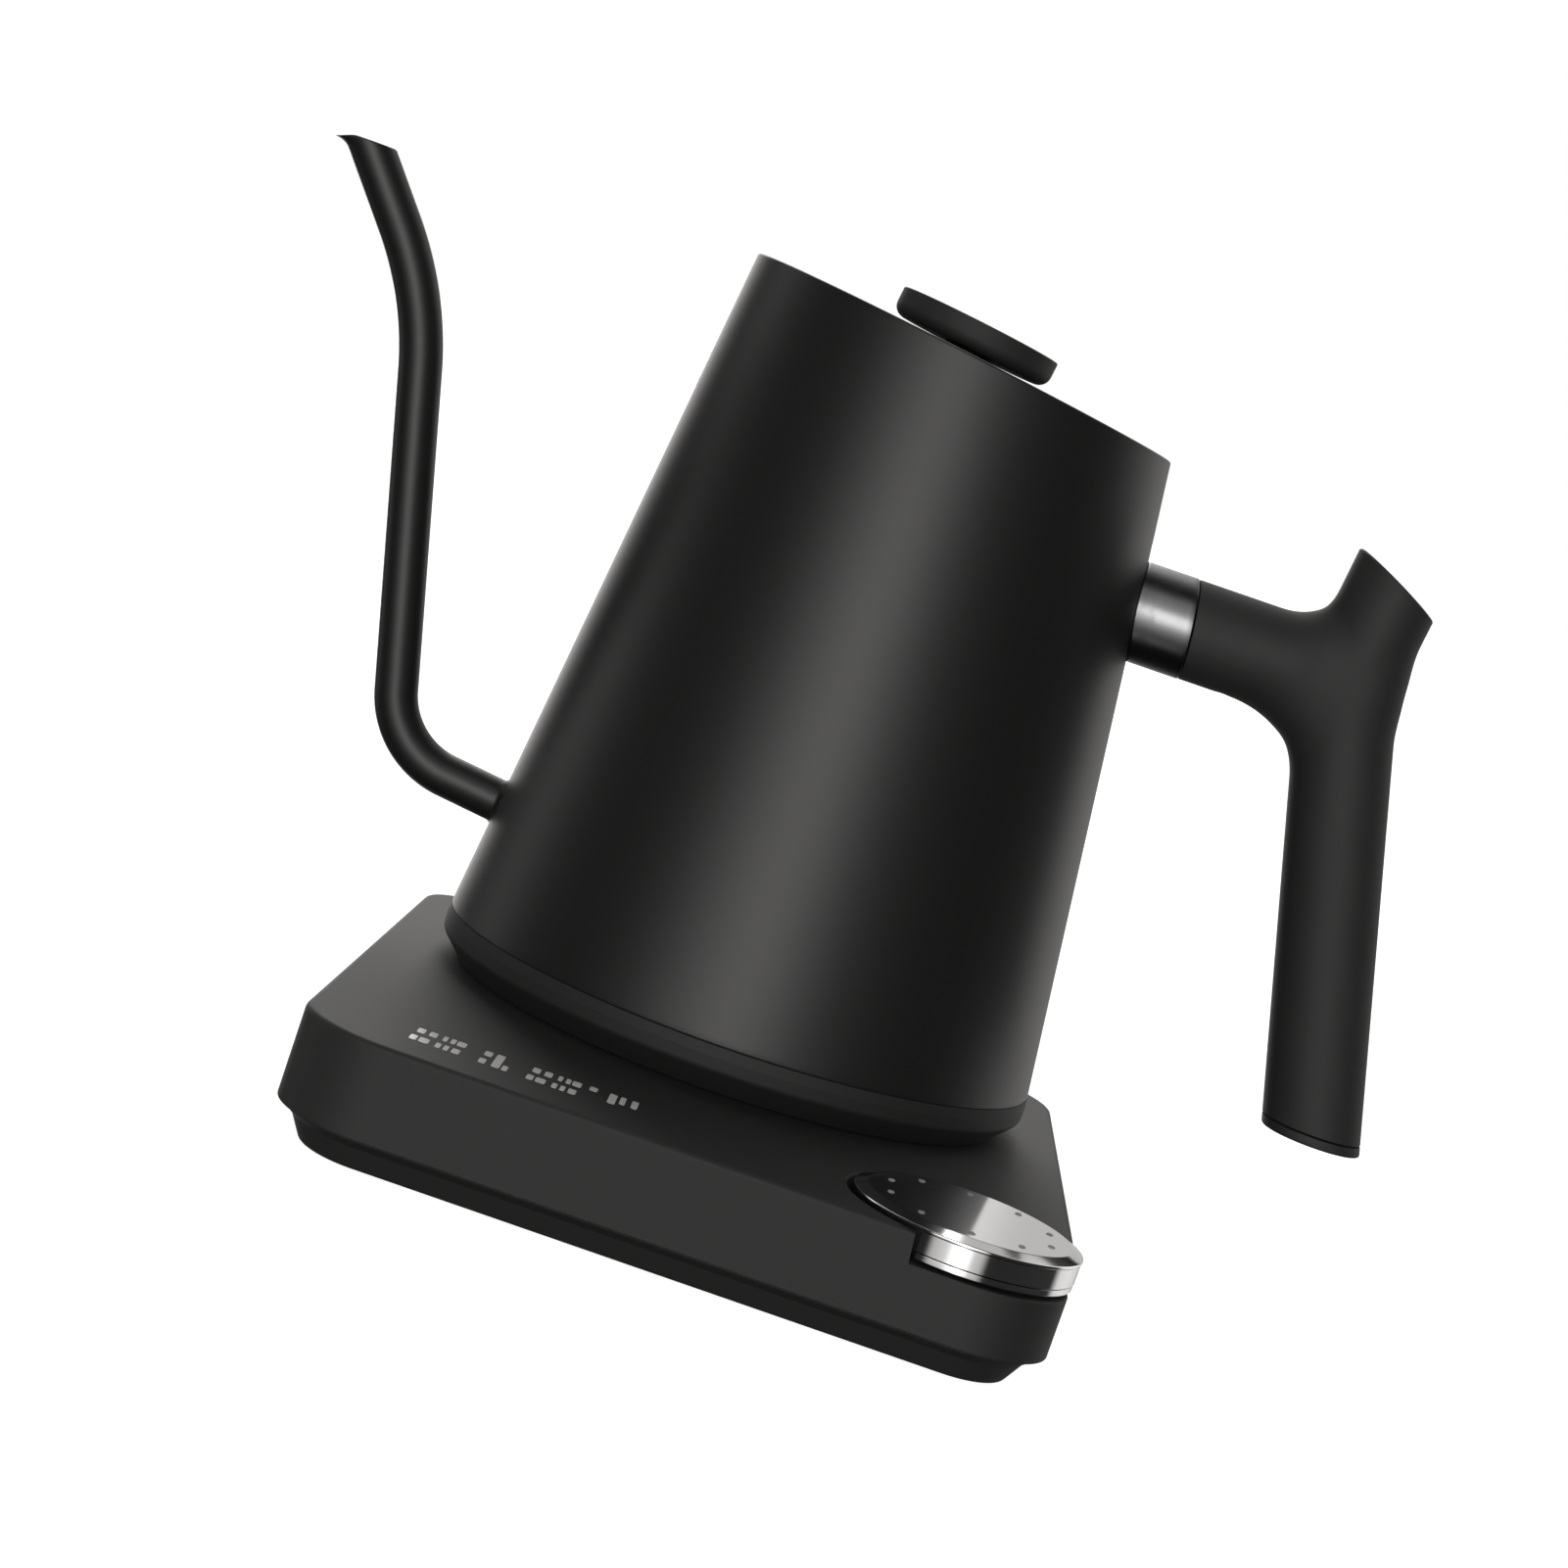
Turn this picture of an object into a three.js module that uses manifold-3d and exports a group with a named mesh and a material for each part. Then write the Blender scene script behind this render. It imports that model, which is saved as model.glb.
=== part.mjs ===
// Electric gooseneck kettle on a square powered base with a corner dial.
//
// Frame: millimetres, +Z up, the front of the base towards -Y, the spout towards -X and the handle
// towards +X. Everything is built about the kettle's upright axis, with z = 0 on the table, and the
// whole object is moved at the end so that the origin is the bottom centre of its own box.

import * as THREE from 'three';
import { mergeVertices } from 'three/addons/utils/BufferGeometryUtils.js';
import Module from 'manifold-3d';

const wasm = await Module();
wasm.setup();

// ---------------------------------------------------------------------------------------------
// Driving dimensions
// ---------------------------------------------------------------------------------------------

const GAP = 0.3; // clearance between neighbouring pieces

// Base casing
const BASE_WIDTH = 154;
const BASE_FRONT = 120; // kettle axis to the front face
const BASE_BACK = 68; // kettle axis to the back face
const BASE_HEIGHT = 26; // table to the top face
const BASE_CORNER = 19; // corner radius in plan
const BASE_WALL = 2.2;
const BASE_EDGE = 1.2; // rounding of the top edge
const BASE_SPLIT = 7.2; // height of the joint between the two covers
const BASE_STEP = 1; // step in from the side at the joint
const BASE_CHAMFER = 2.5; // width of the slope under the joint
const BASE_CHAMFER_HEIGHT = 1.9;
const BASE_TUCK = 2.9; // width of the steeper slope from there down to the underside
const FOOT_RADIUS = 7;
const FOOT_INSET = 22; // foot centre to the sides of the base
const FOOT_LIFT = 0.5; // gap under the base
const SCREW_INSET = 15; // cover screw to the side faces
const SCREW_FRONT = 62; // cover screw ahead of the kettle axis
const SCREW_BACK = 26; // cover screw behind the kettle axis

// Dial in the front right corner
const DIAL_RADIUS = 23;
const DIAL_OVERHANG = 0.8; // past the front and right faces
const DIAL_PROUD = 1.8; // above the top face
const DIAL_BEVEL = 2.6; // width of the bevelled ring round the mirror face
const DIAL_CAP_HEIGHT = 5.7;
const DIAL_NECK = 0.2; // the mirror plate overhangs the side by this
const DIAL_SKIRT_HEIGHT = 1.2;
const DIAL_TRAVEL = 0.5; // press
const POCKET_CLEARANCE = 1.2; // dial side to the pocket wall
const SHAFT_RADIUS = 3;

// 360 degree power connector
const CONNECTOR_RADIUS = 16;
const CONNECTOR_RISE = 7; // above the top face
const CONNECTOR_CLEARANCE = 0.7;
const PIN_RADIUS = 1.9;

// Kettle body, a cone cut off by a slanted rim
const BODY_RADIUS = 66.3; // at its widest, just above the base
const RIM_RADIUS = 48.75; // on the axis at the height of the rim
const RIM_HEIGHT = 182.3; // of the rim plane on the axis
const RIM_TILT = 7.86; // degrees, the rim falls towards the handle
const STEEL_WALL = 1.0;
const SEAM_HEIGHT = 36.4; // lower edge of the steel
const HOUSING_SLOPE = 5; // height of the slope from the foot rim up to the band
const CONTACT_RADIUS = 61.4; // foot rim that stands on the base
const FLOOR_RISE = 5.8; // vessel floor above the seam

// Spout, a bent tube in the kettle's plane
const SPOUT_RADIUS = 4.75;
const SPOUT_BORE = 3.85;
const SPOUT_ROOT_HEIGHT = 59.2; // where the centreline leaves the wall
const SPOUT_RUN = 26; // wall to the lower corner
const SPOUT_LEAN = 14; // degrees, of the long riser from upright
const SPOUT_NECK_DROP = 24.8; // upper corner below the rim plane
const SPOUT_TIP_LEAN = 38.5; // degrees from upright
const SPOUT_MOUTH_RISE = 2.5; // mouth above the rim plane on the axis
const SPOUT_LIP = 1.5; // pouring lip past the front edge of the tube
const SPOUT_LIP_DROP = 1.3; // tip of the lip below the mouth
const SPOUT_LOWER_BEND = 19;
const SPOUT_UPPER_BEND = 74;

// Handle
const ARM_RADIUS = 10.8;
const ARM_DROP = 39.1; // arm centreline below the rim plane on the axis
const FERRULE_PROUD = 0.1; // ferrule outside the arm
const FERRULE_LENGTH = 11.6; // from the wall, along the arm
const GRIP_RADIUS = 10.8;
const GRIP_REACH = 47.8; // grip axis beyond the wall, at the height of the arm
const GRIP_LEAN = 15.15; // degrees outwards going down
const GRIP_LENGTH = 96; // arm centreline down to the flat lower end
const GRIP_BORE = 7.5;
const HORN_RISE = 23.4; // arm centreline up to the middle of the slanted top
const HORN_LEAN = 6.5; // degrees outwards going up
const HORN_TILT = 27.3; // degrees, slope of the top face
const HORN_RADIUS = 10.6;
const END_CAP_HEIGHT = 2.2;

// Lid
const LID_GAP = 0.8; // lid disc to the steel rim
const LID_SINK = 0.6; // disc below the rim
const LID_THICKNESS = 1.8;
const MOUTH_LEDGE = 7.2; // width of the ledge that the lid sits on
const SKIRT_DEPTH = 11;
const KNOB_RADIUS = 18.3;
const KNOB_UNDERCUT = 2.7; // rounding of its lower edge
const KNOB_HEIGHT = 6;
const KNOB_RISE = 1.8; // underside of the knob above the rim plane

// ---------------------------------------------------------------------------------------------
// Materials
// ---------------------------------------------------------------------------------------------

function finish(color, roughness, metalness) {
  return new THREE.MeshStandardMaterial({ color, roughness, metalness });
}

const blackCoat = finish(0x1b1b1a, 0.42, 0.6);
const blackPlastic = finish(0x151515, 0.5, 0);
const basePlastic = finish(0x1a1a1a, 0.45, 0);
const gripPlastic = finish(0x1c1c1c, 0.55, 0);
const chrome = finish(0xd8dadc, 0.08, 1);
const steel = finish(0xb9bbbd, 0.3, 1);
const aluminium = finish(0xc9cbcc, 0.4, 1);
const brass = finish(0xb08d43, 0.3, 1);
const rubber = finish(0x161616, 0.85, 0);
const silicone = finish(0x8a8c8e, 0.7, 0);
const circuit = finish(0x1f5a34, 0.5, 0);
const whitePlastic = finish(0xe6e6e2, 0.4, 0);

// ---------------------------------------------------------------------------------------------
// Shape helpers
// ---------------------------------------------------------------------------------------------

const LATHE_STEPS = 32;
const BODY_STEPS = 40;
const ROUND_STEPS = 12;
const SPOUT_STEPS = 28;
const PLAN_STEPS = 4;

const radians = THREE.MathUtils.degToRad;

/** A closed three.js geometry as a solid that can be joined and cut. */
function solid(geometry) {
  const bare = geometry.clone();
  bare.deleteAttribute('normal');
  bare.deleteAttribute('uv');
  const merged = mergeVertices(bare, 1e-4);
  const index = [];
  for (let i = 0; i < merged.index.count; i += 3) {
    const [a, b, c] = [merged.index.getX(i), merged.index.getX(i + 1), merged.index.getX(i + 2)];
    if (a !== b && b !== c && c !== a) index.push(a, b, c);
  }
  const mesh = new wasm.Mesh({
    numProp: 3,
    vertProperties: new Float32Array(merged.attributes.position.array),
    triVerts: new Uint32Array(index),
  });
  mesh.merge();
  return new wasm.Manifold(mesh);
}

/** A solid back as a three.js geometry. */
function geometryOf(shape) {
  const mesh = shape.getMesh();
  const geometry = new THREE.BufferGeometry();
  geometry.setAttribute('position', new THREE.BufferAttribute(new Float32Array(mesh.vertProperties), 3));
  geometry.setIndex(new THREE.BufferAttribute(new Uint32Array(mesh.triVerts), 1));
  geometry.computeVertexNormals();
  return geometry;
}

/** First geometry joined with the others. */
function join(first, ...others) {
  return geometryOf(others.reduce((whole, other) => whole.add(solid(other)), solid(first)));
}

/** First geometry with the others cut out of it. */
function cut(first, ...tools) {
  return geometryOf(tools.reduce((whole, tool) => whole.subtract(solid(tool)), solid(first)));
}

/** What two geometries have in common. */
function common(first, second) {
  return geometryOf(solid(first).intersect(solid(second)));
}

/** A closed [radius, height] outline turned about the Z axis. */
function turned(outline, steps = LATHE_STEPS) {
  let area = 0;
  outline.forEach(([r, z], i) => {
    const [nextR, nextZ] = outline[(i + 1) % outline.length];
    area += r * nextZ - nextR * z;
  });
  const points = outline.map(([r, z]) => new THREE.Vector2(r, z));
  if (area < 0) points.reverse();
  const onAxis = points.filter((point) => point.x === 0).length;
  if (onAxis === 0) points.push(points[0].clone());
  else while (points[0].x !== 0 || points[points.length - 1].x !== 0) points.push(points.shift());
  return new THREE.LatheGeometry(points, steps).rotateX(Math.PI / 2);
}

/** A round bar along Z between two heights. */
function rod(radius, low, high, x = 0, y = 0, steps = ROUND_STEPS) {
  const bar = new THREE.CylinderGeometry(radius, radius, high - low, steps);
  return bar.rotateX(Math.PI / 2).translate(x, y, (low + high) / 2);
}

/** A round bar along X between two places, at a given height. */
function barX(radius, from, to, height, steps = ROUND_STEPS) {
  const bar = new THREE.CylinderGeometry(radius, radius, to - from, steps);
  return bar.rotateZ(Math.PI / 2).translate((from + to) / 2, 0, height);
}

/** A block between two corners. */
function block([x0, y0, z0], [x1, y1, z1]) {
  const box = new THREE.BoxGeometry(x1 - x0, y1 - y0, z1 - z0);
  return box.translate((x0 + x1) / 2, (y0 + y1) / 2, (z0 + z1) / 2);
}

/** The base's plan outline, drawn in by `inset` all round. */
function planOutline(inset) {
  const halfX = BASE_WIDTH / 2 - inset;
  const front = -BASE_FRONT + inset;
  const back = BASE_BACK - inset;
  const r = Math.max(BASE_CORNER - inset, 1);
  const shape = new THREE.Shape();
  shape.moveTo(-halfX + r, front);
  shape.lineTo(halfX - r, front);
  shape.absarc(halfX - r, front + r, r, -Math.PI / 2, 0, false);
  shape.lineTo(halfX, back - r);
  shape.absarc(halfX - r, back - r, r, 0, Math.PI / 2, false);
  shape.lineTo(-halfX + r, back);
  shape.absarc(-halfX + r, back - r, r, Math.PI / 2, Math.PI, false);
  shape.lineTo(-halfX, front + r);
  shape.absarc(-halfX + r, front + r, r, Math.PI, 1.5 * Math.PI, false);
  return shape;
}

/** The base's plan outline raised between two heights. */
function planSlab(inset, low, high) {
  const options = { depth: high - low, bevelEnabled: false, curveSegments: PLAN_STEPS };
  return new THREE.ExtrudeGeometry(planOutline(inset), options).translate(0, 0, low);
}

/** The base's plan outline raised between two heights, with both its ends rounded off. */
function roundedSlab(size, thickness, segments, low, high, inset = 0) {
  const options = {
    depth: high - low - 2 * thickness,
    bevelEnabled: true,
    bevelSize: size,
    bevelThickness: thickness,
    bevelSegments: segments,
    curveSegments: PLAN_STEPS,
  };
  const outline = planOutline(size + inset);
  return new THREE.ExtrudeGeometry(outline, options).translate(0, 0, low + thickness);
}

const object = new THREE.Group();
const kettle = new THREE.Group();
const dial = new THREE.Group();
const lid = new THREE.Group();
object.add(kettle, dial, lid);

/** Adds a named piece to a group. */
function piece(group, name, geometry, material) {
  const mesh = new THREE.Mesh(geometry, material);
  mesh.name = name;
  group.add(mesh);
  return mesh;
}

// ---------------------------------------------------------------------------------------------
// Places that several pieces share
// ---------------------------------------------------------------------------------------------

const dialX = BASE_WIDTH / 2 + DIAL_OVERHANG - DIAL_RADIUS;
const dialY = -(BASE_FRONT + DIAL_OVERHANG - DIAL_RADIUS);
const dialTop = BASE_HEIGHT + DIAL_PROUD;
const capBottom = dialTop - DIAL_CAP_HEIGHT;
const skirtBottom = capBottom - GAP - DIAL_SKIRT_HEIGHT;
const pocketFloor = skirtBottom - DIAL_TRAVEL - GAP;
const pocketRadius = DIAL_RADIUS + POCKET_CLEARANCE;

const coverThickness = 2.4; // of the top face
const insideTop = BASE_HEIGHT - coverThickness;
const bottomThickness = 2;
const insideFloor = FOOT_LIFT + bottomThickness;
const boardHeight = 9; // underside of the circuit boards
const boardThickness = 1.6;
const boardTop = boardHeight + boardThickness;

const screwSpots = [];
for (const x of [-1, 1]) {
  for (const y of [-SCREW_FRONT, SCREW_BACK]) {
    screwSpots.push([x * (BASE_WIDTH / 2 - SCREW_INSET), y]);
  }
}
const footSpots = [];
for (const x of [-1, 1]) {
  for (const y of [-BASE_FRONT + FOOT_INSET, BASE_BACK - FOOT_INSET]) {
    footSpots.push([x * (BASE_WIDTH / 2 - FOOT_INSET), y]);
  }
}

// The kettle's wall falls outwards by `bodySlope` for each millimetre down.
const wideHeight = SEAM_HEIGHT - 2.4; // the widest place
const bodySlope = (BODY_RADIUS - RIM_RADIUS) / (RIM_HEIGHT - wideHeight);
const wallRadius = (height) => BODY_RADIUS - bodySlope * (height - wideHeight);
const tilt = radians(RIM_TILT);
const standHeight = BASE_HEIGHT + GAP; // the kettle's foot rim

/** A solid cone that follows the kettle's wall, `offset` outside it. */
function wallCone(offset, low, high) {
  return turned([
    [0, low],
    [wallRadius(low) + offset, low],
    [wallRadius(high) + offset, high],
    [0, high],
  ]);
}

/** Everything above the slanted rim plane raised by `rise`. */
function aboveRim(rise) {
  const reach = 4 * BODY_RADIUS;
  const space = block([-reach, -reach, 0], [reach, reach, reach]);
  return space.translate(0, 0, rise).rotateY(tilt).translate(0, 0, RIM_HEIGHT);
}

// ---------------------------------------------------------------------------------------------
// Base casing
// ---------------------------------------------------------------------------------------------

const screwHeadRadius = 3.4;
const screwShankRadius = 1.4;
const postRadius = 4.2;
const bossTop = 6.2;
const postBottom = bossTop + GAP;
const screwHeadTop = 3.7;
const glandX = 40;
const glandRadius = 5;
const glandHeight = BASE_SPLIT + glandRadius + 2 + 2 * GAP;
const glandBore = 3.5;

function baseTopCover() {
  const cutFloor = block(
    [-BASE_WIDTH, -2 * BASE_FRONT, -BASE_HEIGHT],
    [BASE_WIDTH, 2 * BASE_BACK, BASE_SPLIT + GAP],
  );
  const outside = cut(roundedSlab(BASE_EDGE, BASE_EDGE, 2, -BASE_EDGE, BASE_HEIGHT), cutFloor);
  const shell = cut(outside, planSlab(BASE_WALL, -1, insideTop));
  const pocketBlock = common(
    outside,
    rod(pocketRadius + BASE_WALL, pocketFloor - BASE_WALL, BASE_HEIGHT, dialX, dialY, LATHE_STEPS),
  );
  const cornerBlock = common(
    outside,
    block([dialX, -2 * BASE_FRONT, pocketFloor - BASE_WALL], [BASE_WIDTH, dialY, BASE_HEIGHT]),
  );
  const posts = screwSpots.map(([x, y]) => rod(postRadius, postBottom, insideTop + 1, x, y, 12));
  const pilots = screwSpots.map(([x, y]) => rod(screwShankRadius + GAP, postBottom - 1, 17, x, y, 12));
  const pocket = rod(pocketRadius, pocketFloor, BASE_HEIGHT + 5, dialX, dialY, LATHE_STEPS);
  const corner = block([dialX, -2 * BASE_FRONT, pocketFloor], [BASE_WIDTH, dialY, BASE_HEIGHT + 5]);
  const shaftHole = rod(SHAFT_RADIUS + 2 * GAP, 0, BASE_HEIGHT, dialX, dialY);
  const holeRadius = CONNECTOR_RADIUS + CONNECTOR_CLEARANCE;
  const connectorHole = rod(holeRadius, insideTop - 1, BASE_HEIGHT + 1, 0, 0, LATHE_STEPS);
  const gland = rod(glandRadius + GAP, 0, 4 * BASE_WALL).rotateX(-Math.PI / 2);
  gland.translate(glandX, BASE_BACK - 2 * BASE_WALL, glandHeight);
  const body = join(shell, pocketBlock, cornerBlock, ...posts);
  return cut(body, pocket, corner, shaftHole, connectorHole, gland, ...pilots);
}

// Circuit boards, as [low corner, high corner] in plan, kept clear of the screw posts.
const postReach = SCREW_INSET + postRadius + 2; // side face to the far side of a post
const boardHalf = BASE_WIDTH / 2 - postReach;
const powerBoard = [[-boardHalf, 20], [boardHalf, BASE_BACK - 12]];
const mainBoard = [[-boardHalf, -BASE_FRONT + 34], [dialX - DIAL_RADIUS + 4, -24]];
const encoderBoardHalf = 10;
const encoderBoard = [
  [dialX - encoderBoardHalf, dialY - encoderBoardHalf + 2],
  [dialX + encoderBoardHalf, dialY + encoderBoardHalf + 2],
];

const boardPostRadius = 2.2;
const boardPostInset = 4;

function boardPosts() {
  const spots = [powerBoard, mainBoard, encoderBoard].flatMap(([[x0, y0], [x1, y1]]) => [
    [x0 + boardPostInset, y0 + boardPostInset],
    [x1 - boardPostInset, y0 + boardPostInset],
    [x0 + boardPostInset, y1 - boardPostInset],
    [x1 - boardPostInset, y1 - boardPostInset],
  ]);
  return spots.map(([x, y]) => rod(boardPostRadius, insideFloor - 1, boardHeight - GAP, x, y, 6));
}

function baseBottomCover() {
  const chamferLow = BASE_SPLIT - BASE_CHAMFER_HEIGHT;
  const high = 4 * BASE_SPLIT;
  const plinth = roundedSlab(
    BASE_TUCK, chamferLow - FOOT_LIFT, 1, FOOT_LIFT, high, BASE_STEP + BASE_CHAMFER,
  );
  const shoulder = roundedSlab(BASE_CHAMFER, BASE_CHAMFER_HEIGHT, 1, chamferLow, high, BASE_STEP);
  const above = block(
    [-BASE_WIDTH, -2 * BASE_FRONT, BASE_SPLIT],
    [BASE_WIDTH, 2 * BASE_BACK, high + 1],
  );
  const hollow = planSlab(BASE_STEP + BASE_CHAMFER + BASE_TUCK + 2, insideFloor, BASE_SPLIT + 1);
  const wideHollow = planSlab(BASE_STEP + 5.2, insideFloor + 2.4, BASE_SPLIT + 1);
  const lipOutside = planSlab(BASE_WALL + GAP, insideFloor, BASE_SPLIT + 3);
  const lipInside = planSlab(BASE_WALL + GAP + 1.6, insideFloor - 1, BASE_SPLIT + 4);
  const lip = cut(lipOutside, lipInside, planSlab(-5, 0, BASE_SPLIT - 1));
  const glandSlot = block(
    [glandX - glandRadius - 3, BASE_BACK - 8, BASE_SPLIT],
    [glandX + glandRadius + 3, BASE_BACK, BASE_SPLIT + 5],
  );
  const bosses = screwSpots.map(([x, y]) => rod(5.6, insideFloor - 1, bossTop, x, y, 12));
  const heads = screwSpots.map(([x, y]) => rod(screwHeadRadius + GAP, 0, screwHeadTop + GAP, x, y));
  const shanks = screwSpots.map(([x, y]) => rod(screwShankRadius + GAP, 0, BASE_SPLIT + 1, x, y, 12));
  const recesses = footSpots.map(([x, y]) => rod(FOOT_RADIUS + GAP, 0, FOOT_LIFT + 1.2, x, y, 16));
  const tray = cut(join(plinth, shoulder), above, hollow, wideHollow);
  const whole = join(tray, cut(lip, glandSlot), ...bosses, ...boardPosts());
  return cut(whole, ...heads, ...shanks, ...recesses);
}

piece(object, 'base_top_cover', baseTopCover(), basePlastic);
piece(object, 'base_bottom_cover', baseBottomCover(), basePlastic);

footSpots.forEach(([x, y], i) => {
  const top = FOOT_LIFT + 0.9;
  const padProfile = [[0, 0], [FOOT_RADIUS - 0.6, 0], [FOOT_RADIUS, 0.6], [FOOT_RADIUS, top], [0, top]];
  const pad = turned(padProfile, 16);
  piece(object, `foot_${i + 1}`, pad.translate(x, y, 0), rubber);
});

/** A socket head screw, head down, standing on Z. */
function panScrew(headRadius, shankRadius, headBottom, headTop, tip) {
  const socketRadius = headRadius * 0.45;
  return turned([
    [0, headBottom + 1],
    [socketRadius, headBottom + 1],
    [socketRadius, headBottom],
    [headRadius - 0.4, headBottom],
    [headRadius, headBottom + 0.5],
    [headRadius, headTop],
    [shankRadius, headTop],
    [shankRadius, tip],
    [0, tip],
  ], 12);
}

screwSpots.forEach(([x, y], i) => {
  const screw = panScrew(screwHeadRadius, screwShankRadius, FOOT_LIFT + 0.6, screwHeadTop, 16);
  piece(object, `cover_screw_${i + 1}`, screw.translate(x, y, 0), steel);
});

function cordGland() {
  const inner = -3.4; // behind the wall
  const outer = BASE_WALL + 1.8;
  const ring = turned([
    [glandBore, inner],
    [glandRadius + 2, inner],
    [glandRadius + 2, -GAP],
    [glandRadius, -GAP],
    [glandRadius, BASE_WALL + GAP],
    [glandRadius + 1.6, BASE_WALL + GAP],
    [glandRadius + 1.2, outer],
    [glandBore, outer],
  ], 20);
  return ring.rotateX(-Math.PI / 2).translate(glandX, BASE_BACK - BASE_WALL, glandHeight);
}
piece(object, 'cord_gland', cordGland(), rubber);

// ---------------------------------------------------------------------------------------------
// Base connector and electronics
// ---------------------------------------------------------------------------------------------

const connectorTop = BASE_HEIGHT + CONNECTOR_RISE;
const wellRadius = 4.4;
const wellFloor = BASE_HEIGHT + 1.4;
const connectorFoot = boardTop + 2.4;

piece(object, 'base_connector', turned([
  [PIN_RADIUS + GAP, connectorFoot],
  [CONNECTOR_RADIUS + 4, connectorFoot],
  [CONNECTOR_RADIUS + 4, insideTop - 3],
  [CONNECTOR_RADIUS + 7, insideTop - 3],
  [CONNECTOR_RADIUS + 7, insideTop - GAP],
  [CONNECTOR_RADIUS, insideTop - GAP],
  [CONNECTOR_RADIUS, connectorTop - 1.2],
  [CONNECTOR_RADIUS - 1.2, connectorTop],
  [wellRadius, connectorTop],
  [wellRadius, wellFloor],
  [PIN_RADIUS + GAP, wellFloor],
]), blackPlastic);

piece(object, 'connector_pin', turned([
  [0, connectorFoot - 1],
  [PIN_RADIUS, connectorFoot - 1],
  [PIN_RADIUS, connectorTop - 1.3],
  [PIN_RADIUS - 0.9, connectorTop - 0.4],
  [0, connectorTop - 0.4],
], ROUND_STEPS), brass);

function board([[x0, y0], [x1, y1]]) {
  return block([x0, y0, boardHeight], [x1, y1, boardTop]);
}

piece(object, 'power_board', board(powerBoard), circuit);
piece(object, 'main_board', board(mainBoard), circuit);
piece(object, 'encoder_board', board(encoderBoard), circuit);

/** A block standing on the boards. */
function onBoard(x, y, width, depth, height) {
  const low = boardTop + GAP;
  return block([x - width / 2, y - depth / 2, low], [x + width / 2, y + depth / 2, low + height]);
}

piece(object, 'relay', onBoard(-32, 38, 16, 20, 11), blackPlastic);
piece(object, 'transformer', onBoard(2, 39, 22, 18, 11.5), whitePlastic);
piece(object, 'buzzer', rod(6, boardTop + GAP, boardTop + GAP + 6.5, -36, -42, 20), blackPlastic);

// Indicators behind the front left of the top face.
const indicatorX = [-60, -9];
const indicatorY = [-BASE_FRONT + 14, -BASE_FRONT + 28];
const guideHeight = 3.2;
piece(object, 'light_guide', block(
  [indicatorX[0], indicatorY[0], insideTop - GAP - guideHeight],
  [indicatorX[1], indicatorY[1], insideTop - GAP],
), whitePlastic);
piece(object, 'display_board', block(
  [indicatorX[0], indicatorY[0], insideTop - 2 * GAP - guideHeight - boardThickness],
  [indicatorX[1], indicatorY[1], insideTop - 2 * GAP - guideHeight],
), circuit);

// ---------------------------------------------------------------------------------------------
// Dial
// ---------------------------------------------------------------------------------------------

dial.position.set(dialX, dialY, 0);

const encoderTop = pocketFloor - BASE_WALL - GAP;
const encoderHalf = 6.5;
const shaftBottom = boardTop + GAP + DIAL_TRAVEL + 1.2;
const shaftTop = dialTop - 1.6 - GAP;

piece(dial, 'encoder_body', cut(
  block([-encoderHalf, -encoderHalf, boardTop + GAP], [encoderHalf, encoderHalf, encoderTop]),
  rod(SHAFT_RADIUS + GAP, shaftBottom - DIAL_TRAVEL - GAP, BASE_HEIGHT),
), steel);
piece(dial, 'encoder_shaft', rod(SHAFT_RADIUS, shaftBottom, shaftTop), aluminium);

const capWall = 1.6;
const dialSide = DIAL_RADIUS - DIAL_NECK;
piece(dial, 'dial_cap', turned([
  [0, dialTop],
  [DIAL_RADIUS - DIAL_BEVEL, dialTop],
  [DIAL_RADIUS - 0.3, dialTop - 0.9],
  [DIAL_RADIUS, dialTop - 1.2],
  [DIAL_RADIUS, dialTop - 1.5],
  [dialSide, dialTop - 1.7],
  [dialSide, capBottom],
  [dialSide - capWall, capBottom],
  [dialSide - capWall, dialTop - capWall],
  [0, dialTop - capWall],
]), chrome);
piece(dial, 'dial_hub', turned([
  [SHAFT_RADIUS + GAP, skirtBottom + 0.2],
  [8, skirtBottom + 0.2],
  [8, capBottom + GAP],
  [dialSide - capWall - GAP, capBottom + GAP],
  [dialSide - capWall - GAP, dialTop - capWall - GAP],
  [SHAFT_RADIUS + GAP, dialTop - capWall - GAP],
]), blackPlastic);
piece(dial, 'dial_skirt', turned([
  [dialSide - 3.8, skirtBottom],
  [dialSide - 0.3, skirtBottom],
  [dialSide, skirtBottom + 0.3],
  [dialSide, capBottom - GAP],
  [dialSide - 3.8, capBottom - GAP],
]), chrome);

// ---------------------------------------------------------------------------------------------
// Kettle body
// ---------------------------------------------------------------------------------------------

const armHeight = RIM_HEIGHT - ARM_DROP;
const armWall = wallRadius(armHeight); // where the arm's centreline meets the wall
const wallLean = Math.atan(bodySlope);
const floorTop = SEAM_HEIGHT + FLOOR_RISE;
const floorThickness = 1.2;
const probeX = 24;
const probeRadius = 2;
const studRadius = 4.5;

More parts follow.
